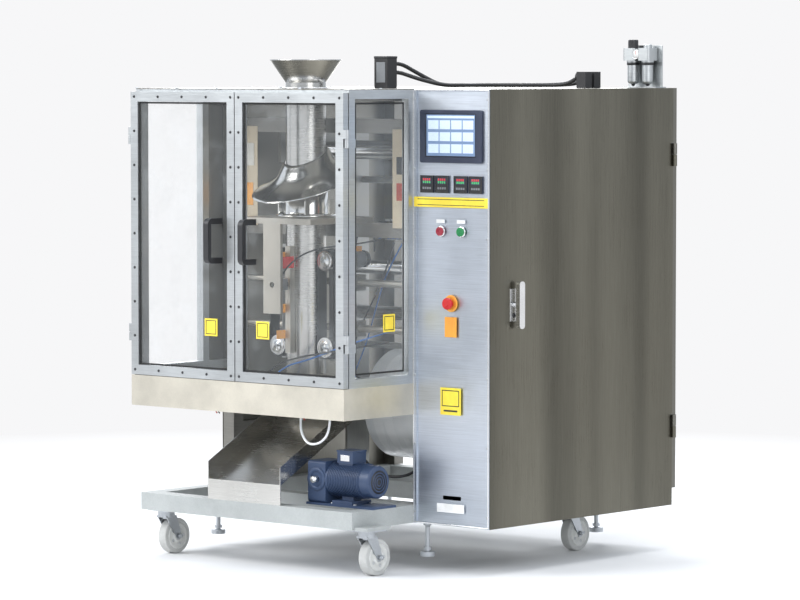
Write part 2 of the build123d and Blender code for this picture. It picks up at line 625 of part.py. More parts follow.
def knife():
    """Toothed blade in the slot of the front jaw."""
    face = YC - JAW_OPEN
    points = [(XC - 140, face - 11.5)]
    for k in range(28):
        points += [(XC - 140 + 10 * k, face - 4), (XC - 135 + 10 * k, face - 1)]
    points += [(XC + 140, face - 4), (XC + 140, face - 11.5)]
    outline = Polyline(*[(x, y, JAW_Z - 0.75) for x, y in points], close=True)
    return extrude(make_face(outline), 1.5, dir=(0, 0, 1))


CHUTE_W, CHUTE_T = 340.0, 3.0
CHUTE_WALL = 60.0
CHUTE_BACK = (YC + 60.0, TABLE_Z - 40.0)
CHUTE_FRONT = (Y_GUARD + 42.0, UNDERSIDE + BEAM + 70.0)


def discharge_chute():
    """Sloping tray below the jaws that carries bags out to the front, its two walls and its foot."""
    (yb, zb), (yf, zf) = CHUTE_BACK, CHUTE_FRONT
    x0, x1 = XC - CHUTE_W / 2, XC + CHUTE_W / 2
    tray = side_outline(x0, [(yb, zb), (yf, zf), (yf, zf - CHUTE_T), (yb, zb - CHUTE_T)], CHUTE_W)
    foot = box(x0, x1, yf, yf + CHUTE_T, UNDERSIDE + BEAM, zf - CHUTE_T)
    walls = [side_outline(x, [(yb, zb), (yb, zb + CHUTE_WALL), (yf, zf + CHUTE_WALL), (yf, zf)], CHUTE_T)
             for x in (x0, x1 - CHUTE_T)]
    return [tray, foot] + walls


MOTOR_R = 58.0
MOTOR_Y, MOTOR_Z = Y_GUARD + 205.0, UNDERSIDE + BEAM + 30.0 + MOTOR_R
MOTOR_X0 = XC + CHUTE_W / 2 + 25.0


def drive_motor():
    """Gear motor on a shelf beside the chute."""
    x0, x1 = MOTOR_X0, X_CAB
    shelf_z = UNDERSIDE + BEAM
    shelf = box(x0, x1, MOTOR_Y - 60, MOTOR_Y + 60, shelf_z, shelf_z + 8)
    gearbox = box(x0 + 4, x0 + 84, MOTOR_Y - 55, MOTOR_Y + 55, shelf_z + 8, MOTOR_Z + 62)
    gearbox = fillet(gearbox.edges().filter_by(Axis.X), 10)
    motor = bar("x", x0 + 84 + 75, MOTOR_Y, MOTOR_Z, MOTOR_R, 150)
    cowl = bar("x", x0 + 84 + 172, MOTOR_Y, MOTOR_Z, MOTOR_R - 2, 44)
    cowl = fillet(cowl.edges().sort_by(Axis.X)[-1], 8)
    top = MOTOR_Z + MOTOR_R
    terminals = box(x0 + 120, x0 + 190, MOTOR_Y - 34, MOTOR_Y + 34, top, top + 42)
    feet = box(x0 + 110, x0 + 200, MOTOR_Y - 50, MOTOR_Y + 50, shelf_z + 8, shelf_z + 20)
    column = box(x0 + 130, x0 + 180, MOTOR_Y - 20, MOTOR_Y + 20, shelf_z + 20, MOTOR_Z - MOTOR_R + 6)
    neck = box(x0 + 125, x0 + 185, MOTOR_Y - 30, MOTOR_Y + 30, top - 9, top)
    return [shelf, gearbox, motor + feet + column + neck, cowl, terminals]


# --- Air service, cables and hose -------------------------------------------------------------

AIR_X, AIR_Y, AIR_Z = X_RIGHT - 110.0, Y_REAR - 70.0, BODY_TOP
AIR_DX = 32.0
CABLE_R = 7.0
HOSE_R = 4.0
HOSE_POINTS = [
    (200, -590, 535), (200, -590, 481), (163, -598, 440), (108, -601, 434), (74, -597, 474),
    (67, -590, 517), (67, -590, 560),
]
CABLE_RISES = [
    [(60, -120, 55), (60, -70, 55), (95, -15, 33), (150, 60, 10), (168, 150, 10), (160, 240, 10),
     (185, 330, 10), (250, 400, 10), (320, 440, 10), (400, 440, 15), (452, 440, 41)],
    [(60, -120, 85), (60, -62, 85), (84, 0, 51), (122, 72, 10), (136, 160, 10), (128, 250, 10),
     (160, 350, 10), (235, 430, 10), (320, 478, 10), (400, 490, 15), (452, 490, 41)],
]
CABLE_ROUTES = [[(x, y, BODY_TOP + rise) for x, y, rise in run] for run in CABLE_RISES]


def tube(points, r):
    """Round tube along straight runs joined by tangent arcs as large as the runs allow."""
    pts = [Vector(*p) for p in points]
    radii = []
    for a, b, c in zip(pts, pts[1:], pts[2:]):
        half_turn = (b - a).get_angle(c - b) / 2
        shorter = min((b - a).length, (c - b).length)
        radii.append(0.45 * shorter / math.tan(math.radians(half_turn)))
    path = FilletPolyline(*pts, radius=radii)
    section = Plane(origin=pts[0], z_dir=pts[1] - pts[0]) * Circle(r)
    body = sweep(section, path=path)
    print("tube radii", [round(x) for x in radii], "length", round(path.length),
          "volume ratio", round(body.volume / (math.pi * r * r * path.length), 4))
    return body


def air_unit():
    """Bracket, filter-regulator and lubricator bodies, and the valve bank on the middle beam."""
    z = AIR_Z
    bracket = box(AIR_X - 75, AIR_X + 75, AIR_Y - 10, AIR_Y + 50, z, z + 4)
    bracket += box(AIR_X - 75, AIR_X + 75, AIR_Y + 28, AIR_Y + 32, z, z + 150)
    pieces = [bracket]
    for side in (-1, 1):
        x = AIR_X + side * AIR_DX
        head = box(x - 26, x + 26, AIR_Y - 28, AIR_Y + 28, z + 96, z + 140)
        head = fillet(head.edges().filter_by(Axis.Z), 8)
        head += bar("z", x, AIR_Y, z + 93, 23, 6)
        if side > 0:
            head += fillet(bar("z", x, AIR_Y, z + 147, 15, 14).edges().sort_by(Axis.Z)[-1], 5)
        else:
            head += bar("z", x, AIR_Y, z + 146, 10, 12)
        pieces.append(head)
    pieces.append(bar("x", AIR_X, AIR_Y, z + 118, 8, 2 * (AIR_DX - 26)))
    base_y, base_x = Y_POST + POST, XC + 200
    pieces.append(box(base_x, base_x + 200, base_y, base_y + 30, BEAM_MID_Z - 20, BEAM_MID_Z + 20))
    for k in range(7):
        x = base_x + 8 + 27 * k
        pieces.append(box(x, x + 23, base_y + 30, base_y + 78, BEAM_MID_Z - 36, BEAM_MID_Z + 36))
    for x, y, z0 in ((200, -605, 535), (67, -600, 560)):
        pieces.append(box(x - 10, x + 10, y, y + 25, z0, z0 + 26))
    return pieces


def air_bowls():
    """Clear bowls under the two heads."""
    out = []
    for side in (-1, 1):
        bowl = bar("z", AIR_X + side * AIR_DX, AIR_Y, AIR_Z + 52, 20, 76)
        out.append(fillet(bowl.edges().sort_by(Axis.Z)[0], 10))
    return out


def regulator_knob():
    """Pull-and-turn knob on the regulator."""
    x = AIR_X - AIR_DX
    knob = bar("z", x, AIR_Y, AIR_Z + 155, 18, 30)
    knob = fillet(knob.edges().filter_by(GeomType.CIRCLE).sort_by(Axis.Z)[-1], 4)
    for k in range(12):
        notch = Pos(x, AIR_Y, AIR_Z + 155) * Rot(0, 0, 30 * k) * Pos(19, 0, 0) * Cylinder(2, 40)
        knob -= notch
    return knob - bar("z", x, AIR_Y, AIR_Z + 146, 10 + RUN, 12.2)


def cabinet_cables():
    """Cables from a raised inlet on the top plate to two glands on the cabinet roof."""
    cables = []
    glands = []
    for route in CABLE_ROUTES:
        x, y, z = route[-1]
        gland = box(x, x + 40, y - 18, y + 18, BODY_TOP, z + 16)
        cables.append(tube(route, CABLE_R) - gland)
        glands.append(gland)
    return cables + [box(30, 90, -170, -120, BODY_TOP, BODY_TOP + 110)] + glands


# --- Casters and feet -------------------------------------------------------------------------

AXLE_R = 6.0
KING_R = 10.0
PLATE_Z = UNDERSIDE - 6.0
WHEEL_GAP = 6.0
KING_Z = 2 * WHEEL_R + WHEEL_GAP - 7.0
LEG_T = 4.0
TREAD_H = 20.5
LEG_IN = WHEEL_W / 2 + 2.0


def caster_fork(x, y, king_bore):
    """Crown and two legs that hold the axle, trailing behind the swivel line."""
    low = 2 * WHEEL_R + WHEEL_GAP
    crown = bar("z", x, y, low + 11, 30, 22)
    crown += box(x - LEG_IN - LEG_T, x + LEG_IN + LEG_T, y - 26, y + 26, low, low + 6)
    axle_y = y + CASTER_TRAIL
    for s in (-1, 1):
        inner, outer = sorted((x + s * LEG_IN, x + s * (LEG_IN + LEG_T)))
        outline = [(y - 26, low + 6), (y + 26, low + 6), (axle_y + 14, WHEEL_R), (axle_y + 6, WHEEL_R - 14),
                   (axle_y - 6, WHEEL_R - 14), (axle_y - 14, WHEEL_R)]
        crown += side_outline(inner, outline, outer - inner)
    crown += bar("x", x, axle_y, WHEEL_R, AXLE_R, 2 * LEG_IN + 16)
    if king_bore:
        crown -= bar("z", x, y, low + 11, KING_R + RUN, 60)
    return crown


def wheel(x, y):
    """Wheel with a wide tread, a recessed web and a hub."""
    yc = y + CASTER_TRAIL
    tyre = bar("x", x, yc, WHEEL_R, WHEEL_R, WHEEL_W)
    tyre = fillet(tyre.edges().filter_by(GeomType.CIRCLE), 5)
    for s in (-1, 1):
        face = x + s * WHEEL_W / 2
        tyre -= bar("x", face, yc, WHEEL_R, WHEEL_R - TREAD_H, 16) - bar("x", face, yc, WHEEL_R, 18, 17)
    return tyre - bar("x", x, yc, WHEEL_R, AXLE_R + RUN, 60)


def caster_mounts():
    """Swivel plates with king pins at the front, and the two rigid casters' plates and forks."""
    pieces = []
    for name, (x, y) in CASTERS.items():
        plate = box(x - 50, x + 50, y - 43, y + 43, PLATE_Z, UNDERSIDE)
        if name.startswith("front"):
            plate += bar("z", x, y, (KING_Z + PLATE_Z) / 2, KING_R, PLATE_Z - KING_Z)
            plate += bar("z", x, y, KING_Z + 3, KING_R + 4, 6)
        else:
            plate += caster_fork(x, y, False)
        pieces.append(plate)
    return pieces


def levelling_feet():
    """Four screwed feet, wound up clear of the floor."""
    out = []
    for x, y in FEET:
        top = UNDERSIDE + BEAM - 5
        foot = bar("z", x, y, (60 + top) / 2, FOOT_R, top - 60) + bar("z", x, y, 52, 25, 16)
        out.append(foot + bar("z", x, y, 70, 13, 10))
    return out


# --- Write the nodes --------------------------------------------------------------------------

def main():
    os.makedirs("parts", exist_ok=True)
    save("base_frame", base_frame())
    save("upright_frame", upright_frame())
    save("cabinet_shell", cabinet_shell(), *cabinet_hinges())
    save("control_panel", control_panel())
    save("panel_instruments", *screen_unit(), *controllers())
    save("stop_button", button(X_PANEL - BUTTON_DX, BUTTON_Z, BUTTON_R + 2, 12))
    save("start_button", button(X_PANEL + BUTTON_DX, BUTTON_Z, BUTTON_R + 2, 12))
    save("emergency_stop", emergency_stop())
    save("cabinet_door", cabinet_door())
    save("cabinet_door_handle", door_handle())
    save("electrical_rack", *electrical_rack())
    save("front_table", front_table())
    save("guard_frame", guard_frame())
    save("guard_side_panes", *side_panes())
    for side, name in ((-1, "left"), (1, "right")):
        leaf, pane, handle = guard_door(side)
        save("guard_door_" + name, leaf)
        save("guard_pane_" + name, pane)
        save("guard_handle_" + name, handle)
        save("belt_carriage_" + name, *belt_carriage(side))
        save("film_belt_" + name, belt(side))
        save("belt_drive_pulley_" + name, pulley(side, BELT_TOP_Z))
        save("belt_idler_pulley_" + name, pulley(side, BELT_LOW_Z))
    save("cover_panels", *covers())
    save("film_side_plates", *film_plates())
    for name, (y, z) in ROLLERS.items():
        save(name, roller(y, z, ROLLER_R))
    save("unwind_shaft", unwind_shaft())
    save("film_roll", film_roll())
    save("dancer_arm", dancer_arm())
    save("dancer_roller", dancer_roller())
    save("forming_tube", forming_tube())
    save("forming_collar", forming_collar())
    save("former_support", *former_support())
    save("vertical_seal_bar", seal_bar())
    save("air_cylinders", *cylinders())
    save("jaw_frame", *jaw_frame())
    save("front_jaw", jaw(-1))
    save("rear_jaw", jaw(1))
    save("knife", knife())
    save("discharge_chute", *discharge_chute())
    save("drive_motor", *drive_motor())
    save("air_unit", *air_unit(), *air_bowls())
    save("regulator_knob", regulator_knob())
    save("top_cables", *cabinet_cables())
    save("air_hose", tube(HOSE_POINTS, HOSE_R))
    save("caster_mounts", *caster_mounts())
    for name, (x, y) in CASTERS.items():
        save("wheel_" + name, wheel(x, y))
        if name.startswith("front"):
            save("caster_fork_" + name, caster_fork(x, y, True))
    save("levelling_feet", *levelling_feet())


main()
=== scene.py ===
import json
import math
import random

import bmesh
import bpy
from bpy.props import FloatProperty, FloatVectorProperty, IntProperty, PointerProperty
from mathutils import Matrix, Vector

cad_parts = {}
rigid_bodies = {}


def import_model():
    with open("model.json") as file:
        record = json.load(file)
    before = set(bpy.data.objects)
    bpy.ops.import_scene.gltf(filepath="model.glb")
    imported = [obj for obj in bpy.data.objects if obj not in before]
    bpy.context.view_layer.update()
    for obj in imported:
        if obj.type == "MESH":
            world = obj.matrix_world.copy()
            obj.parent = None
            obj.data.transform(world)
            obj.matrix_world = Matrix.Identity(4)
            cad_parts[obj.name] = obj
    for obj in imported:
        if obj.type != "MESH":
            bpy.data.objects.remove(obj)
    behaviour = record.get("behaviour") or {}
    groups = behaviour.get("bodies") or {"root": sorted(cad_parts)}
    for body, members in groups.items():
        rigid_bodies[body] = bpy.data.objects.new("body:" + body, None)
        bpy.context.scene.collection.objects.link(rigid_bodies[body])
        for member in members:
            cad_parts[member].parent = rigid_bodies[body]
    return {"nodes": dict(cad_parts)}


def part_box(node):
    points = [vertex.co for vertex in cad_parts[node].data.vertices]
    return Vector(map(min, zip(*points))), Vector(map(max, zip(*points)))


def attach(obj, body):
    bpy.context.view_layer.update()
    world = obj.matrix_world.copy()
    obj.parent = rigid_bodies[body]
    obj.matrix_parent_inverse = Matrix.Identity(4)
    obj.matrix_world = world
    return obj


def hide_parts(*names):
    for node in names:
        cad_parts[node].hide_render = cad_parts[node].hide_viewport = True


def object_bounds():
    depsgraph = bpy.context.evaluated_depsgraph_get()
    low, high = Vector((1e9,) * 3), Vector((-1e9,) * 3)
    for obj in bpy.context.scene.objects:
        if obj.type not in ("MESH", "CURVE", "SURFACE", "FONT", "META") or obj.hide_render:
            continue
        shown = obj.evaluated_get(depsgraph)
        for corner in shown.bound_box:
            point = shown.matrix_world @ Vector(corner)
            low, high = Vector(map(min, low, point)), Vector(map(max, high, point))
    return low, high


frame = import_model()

bl_info = {
    "name": "Form Fill Sealer",
    "version": (1, 0, 0),
    "blender": (4, 5, 0),
    "location": "View3D > Sidebar > Sealer",
    "description": "Finishes and details of a vertical form fill sealer",
    "category": "Object",
}

CAD_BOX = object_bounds()
FRONT = (0.0, -1.0, 0.0)
UP = (0.0, 0.0, 1.0)


# --- Settings ---------------------------------------------------------------------------------

class SealerFinish(bpy.types.PropertyGroup):
    # Kept dark: this tint is partly painted shade on the door as well as the steel's own colour
    door_steel: FloatVectorProperty(name="Door steel", description="Tint of the brushed cabinet door",
                                    default=(0.185, 0.175, 0.14), subtype="COLOR")
    panel_steel: FloatVectorProperty(name="Panel steel", description="Tint of the control panel",
                                     default=(0.62, 0.66, 0.72), subtype="COLOR")
    table_steel: FloatVectorProperty(name="Table steel",
                                     description="Tint of the bead-blasted table and jaws",
                                     default=(0.66, 0.62, 0.53), subtype="COLOR")
    label_yellow: FloatVectorProperty(name="Label yellow", description="Colour of the plain warning plates",
                                      default=(0.93, 0.70, 0.06), subtype="COLOR")
    pane_tint: FloatVectorProperty(name="Pane tint", description="Tint of the clear guard sheets",
                                   default=(0.86, 0.91, 0.93), subtype="COLOR")


class SealerSizes(bpy.types.PropertyGroup):
    screw_radius: FloatProperty(name="Screw radius", description="Radius of a panel screw head",
                                default=0.0055, unit="LENGTH")
    screw_height: FloatProperty(name="Screw height", description="How far a screw head stands out",
                                default=0.003, unit="LENGTH")
    label_thickness: FloatProperty(name="Label thickness", description="Thickness of the stuck-on plates",
                                   default=0.0008, unit="LENGTH")
    seal_width: FloatProperty(name="Seal width", description="Width of the black door seal",
                              default=0.006, unit="LENGTH")
    louvre_count: IntProperty(name="Louvres", description="Louvres in each cabinet vent", default=11, min=1)
    tooth_pitch: FloatProperty(name="Tooth pitch", description="Pitch of the film belt's teeth",
                               default=0.010, unit="LENGTH")


class SealerStage(bpy.types.PropertyGroup):
    azimuth: FloatProperty(name="Azimuth", description="View direction round the machine",
                           default=math.radians(41), subtype="ANGLE")
    distance: FloatProperty(name="Distance", description="Camera distance", default=13.7, unit="LENGTH")
    eye_height: FloatProperty(name="Eye height", description="Camera height", default=1.71, unit="LENGTH")
    lens: FloatProperty(name="Lens", description="Focal length in millimetres", default=176.0)


# --- Material building ------------------------------------------------------------------------

def new_material(name):
    """A material with an empty tree and a wired principled shader."""
    material = bpy.data.materials.new(name)
    material.use_nodes = True
    tree = material.node_tree
    tree.nodes.clear()
    output = tree.nodes.new("ShaderNodeOutputMaterial")
    shader = tree.nodes.new("ShaderNodeBsdfPrincipled")
    tree.links.new(shader.outputs["BSDF"], output.inputs["Surface"])
    return material, tree, shader


def link(tree, source, target):
    tree.links.new(source, target)


def pattern(tree, kind, scale, stretch=(1, 1, 1), **settings):
    """A texture on object coordinates, stretched per axis."""
    coordinates = tree.nodes.new("ShaderNodeTexCoord")
    mapping = tree.nodes.new("ShaderNodeMapping")
    mapping.inputs["Scale"].default_value = stretch
    texture = tree.nodes.new("ShaderNodeTex" + kind)
    texture.inputs["Scale"].default_value = scale
    for key, value in settings.items():
        texture.inputs[key.replace("_", " ").title()].default_value = value
    link(tree, coordinates.outputs["Object"], mapping.inputs["Vector"])
    link(tree, mapping.outputs["Vector"], texture.inputs["Vector"])
    return texture


def ramp(tree, source, low, high, start=0.35, end=0.65):
    """Maps a factor to a number or a colour between two ends."""
    node = tree.nodes.new("ShaderNodeValToRGB")
    for element, value, place in zip(node.color_ramp.elements, (low, high), (start, end)):
        element.color = (*value, 1) if isinstance(value, tuple) else (value, value, value, 1)
        element.position = place
    link(tree, source, node.inputs["Fac"])
    return node.outputs["Color"]


def blend_colours(tree, mode, factor, a, b):
    """Mixes two colours. Either one may be a socket or a plain tuple."""
    node = tree.nodes.new("ShaderNodeMix")
    node.data_type = "RGBA"
    node.blend_type = mode
    for value, socket in ((factor, node.inputs[0]), (a, node.inputs[6]), (b, node.inputs[7])):
        if isinstance(value, bpy.types.NodeSocket):
            link(tree, value, socket)
        elif isinstance(value, tuple):
            socket.default_value = (*value, 1)
        else:
            socket.default_value = value
    return node.outputs[2]


def bump(tree, shader, height, strength, distance):
    node = tree.nodes.new("ShaderNodeBump")
    node.inputs["Strength"].default_value = strength
    node.inputs["Distance"].default_value = distance
    link(tree, height, node.inputs["Height"])
    link(tree, node.outputs["Normal"], shader.inputs["Normal"])


def edge_wear(tree, base, worn, amount=0.5):
    """Lightens sharp edges, broken up by noise."""
    geometry = tree.nodes.new("ShaderNodeNewGeometry")
    rounded = tree.nodes.new("ShaderNodeBevel")
    rounded.samples = 3
    rounded.inputs["Radius"].default_value = 0.003
    likeness = tree.nodes.new("ShaderNodeVectorMath")
    likeness.operation = "DOT_PRODUCT"
    link(tree, geometry.outputs["True Normal"], likeness.inputs[0])
    link(tree, rounded.outputs["Normal"], likeness.inputs[1])
    edges = ramp(tree, likeness.outputs["Value"], 1.0, 0.0, 0.88, 0.99)
    spots = ramp(tree, pattern(tree, "Noise", 60.0, detail=4.0).outputs["Fac"], 0.0, amount, 0.4, 0.65)
    factor = blend_colours(tree, "MULTIPLY", 1.0, edges, spots)
    return blend_colours(tree, "MIX", factor, base, worn)


def scaled(colour, k):
    return tuple(min(1.0, c * k) for c in colour)


def brushed(name, colour, rough=0.32, grain=(1, 1, 60), bands=(0, 0.9, 0), band_depth=0.0, smudge=0.08):
    """Brushed steel: fine grain across one axis, soft darker bands, and faint hand marks in the gloss. Where the
    bands are stretched into deep vertical stripes, as on the door, they are painted shade.
    """
    material, tree, shader = new_material(name)
    shader.inputs["Metallic"].default_value = 1.0
    fine = pattern(tree, "Noise", 14.0, grain, detail=6.0, roughness=0.7).outputs["Fac"]
    tone = ramp(tree, fine, scaled(colour, 0.86), scaled(colour, 1.10), 0.3, 0.7)
    # Broad darker bands of tone; on the door they are deep vertical stripes of painted shade
    if band_depth:
        wide = pattern(tree, "Noise", 3.2, bands, detail=1.5).outputs["Fac"]
        shade = ramp(tree, wide, 1.0 - band_depth, 1.0, 0.36, 0.62)
        tone = blend_colours(tree, "MULTIPLY", 1.0, tone, shade)
    marks = pattern(tree, "Noise", 5.0, (1.0, 1.3, 0.8), detail=5.0, roughness=0.6).outputs["Fac"]
    tone = blend_colours(tree, "MULTIPLY", 1.0, tone, ramp(tree, marks, 0.95, 1.0, 0.36, 0.62))
    link(tree, edge_wear(tree, tone, scaled(colour, 1.35)), shader.inputs["Base Color"])
    gloss = blend_colours(tree, "ADD", 1.0, ramp(tree, fine, rough - 0.06, rough + 0.06, 0.3, 0.7),
                          ramp(tree, marks, 0.0, smudge, 0.45, 0.6))
    link(tree, gloss, shader.inputs["Roughness"])
    bump(tree, shader, fine, 0.10, 0.0004)
    return material


def coated(name, colour, rough=0.45, speck=220.0, depth=0.18, dust=0.12, metal=0.0):
    """Paint or blasted metal: orange-peel bump, slight mottling and dust in the gloss."""
    material, tree, shader = new_material(name)
    shader.inputs["Metallic"].default_value = metal
    peel = pattern(tree, "Noise", speck, detail=3.0).outputs["Fac"]
    cloud = pattern(tree, "Noise", 6.0, detail=5.0, roughness=0.65).outputs["Fac"]
    tone = ramp(tree, cloud, scaled(colour, 0.88), scaled(colour, 1.06))
    tone = blend_colours(tree, "MULTIPLY", 1.0, tone, ramp(tree, peel, 0.93, 1.0))
    link(tree, edge_wear(tree, tone, scaled(colour, 1.25)), shader.inputs["Base Color"])
    link(tree, ramp(tree, cloud, rough, rough + dust), shader.inputs["Roughness"])
    bump(tree, shader, peel, depth, 0.0006)
    return material


def moulded(name, colour, rough=0.38, grain=420.0, depth=0.12):
    """Moulded plastic or rubber with a fine grain and rubbed edges."""
    material, tree, shader = new_material(name)
    fine = pattern(tree, "Noise", grain, detail=2.0).outputs["Fac"]
    scuff = pattern(tree, "Noise", 18.0, detail=6.0, roughness=0.7).outputs["Fac"]
    tone = ramp(tree, scuff, colour, scaled(colour, 1.25), 0.45, 0.75)
    link(tree, edge_wear(tree, tone, scaled(colour, 1.8), 0.6), shader.inputs["Base Color"])
    link(tree, ramp(tree, scuff, rough, rough + 0.15, 0.4, 0.7), shader.inputs["Roughness"])
    bump(tree, shader, fine, depth, 0.0004)
    return material


def polished(name, colour, rough=0.12, rings=(40, 1, 1)):
    """Ground and polished metal with fine turning marks."""
    material, tree, shader = new_material(name)
    shader.inputs["Metallic"].default_value = 1.0
    turned = pattern(tree, "Noise", 30.0, rings, detail=4.0).outputs["Fac"]
    film = pattern(tree, "Noise", 9.0, detail=5.0).outputs["Fac"]
    link(tree, ramp(tree, film, scaled(colour, 0.9), colour), shader.inputs["Base Color"])
    link(tree, ramp(tree, turned, rough, rough + 0.12), shader.inputs["Roughness"])
    bump(tree, shader, turned, 0.06, 0.0003)
    return material


def clear_sheet(name, colour, body=0.10, edge=0.55):
    """Clear polycarbonate: see-through face on, brighter at a glancing angle, with fine scratches."""
    material, tree, shader = new_material(name)
    shader.inputs["Base Color"].default_value = (*colour, 1)
    shader.inputs["IOR"].default_value = 1.58
    facing = tree.nodes.new("ShaderNodeLayerWeight")
    facing.inputs["Blend"].default_value = 0.35
    haze = pattern(tree, "Noise", 7.0, detail=6.0, roughness=0.7).outputs["Fac"]
    scratch = pattern(tree, "Noise", 90.0, (1, 1, 12), detail=5.0).outputs["Fac"]
    alpha = blend_colours(tree, "ADD", 1.0, ramp(tree, facing.outputs["Facing"], body, edge, 0.2, 1.0),
                          ramp(tree, haze, 0.0, 0.05, 0.5, 0.7))
    link(tree, alpha, shader.inputs["Alpha"])
    link(tree, ramp(tree, haze, 0.05, 0.16, 0.45, 0.65), shader.inputs["Roughness"])
    bump(tree, shader, scratch, 0.03, 0.0002)
    return material


def glowing(name, colour, strength, lines=900.0):
    """Backlit display: a fine pixel grid in the brightness, without a picture."""
    material, tree, shader = new_material(name)
    cell = pattern(tree, "Noise", lines, detail=1.0).outputs["Fac"]
    tone = ramp(tree, cell, scaled(colour, 0.85), colour)
    link(tree, tone, shader.inputs["Base Color"])
    link(tree, tone, shader.inputs["Emission Color"])
    shader.inputs["Emission Strength"].default_value = strength
    shader.inputs["Roughness"].default_value = 0.18
    return material


def wound_film(name):
    """Reel of film: printed pale face with wrap lines, and a ringed end."""
    material, tree, shader = new_material(name)
    low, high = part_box("film_roll")
    centre = [(a + b) / 2 for a, b in zip(low, high)]
    coordinates = tree.nodes.new("ShaderNodeTexCoord")
    mapping = tree.nodes.new("ShaderNodeMapping")
    mapping.inputs["Location"].default_value = (0.0, -centre[1], -centre[2])
    mapping.inputs["Scale"].default_value = (0.0, 1.0, 1.0)
    rings = tree.nodes.new("ShaderNodeTexWave")
    rings.wave_type = "RINGS"
    rings.rings_direction = "X"
    rings.inputs["Scale"].default_value = 140.0
    rings.inputs["Distortion"].default_value = 1.2
    rings.inputs["Detail"].default_value = 2.0
    link(tree, coordinates.outputs["Object"], mapping.inputs["Vector"])
    link(tree, mapping.outputs["Vector"], rings.inputs["Vector"])
    wrap = pattern(tree, "Noise", 8.0, (1, 0.2, 0.2), detail=3.0).outputs["Fac"]
    tone = blend_colours(tree, "MULTIPLY", 1.0, ramp(tree, wrap, (0.80, 0.83, 0.84), (0.90, 0.91, 0.90)),
                         ramp(tree, rings.outputs["Fac"], 0.86, 1.0, 0.2, 0.8))
    link(tree, tone, shader.inputs["Base Color"])
    link(tree, ramp(tree, wrap, 0.18, 0.34), shader.inputs["Roughness"])
    shader.inputs["Coat Weight"].default_value = 0.3
    bump(tree, shader, rings.outputs["Fac"], 0.08, 0.0003)
    return material


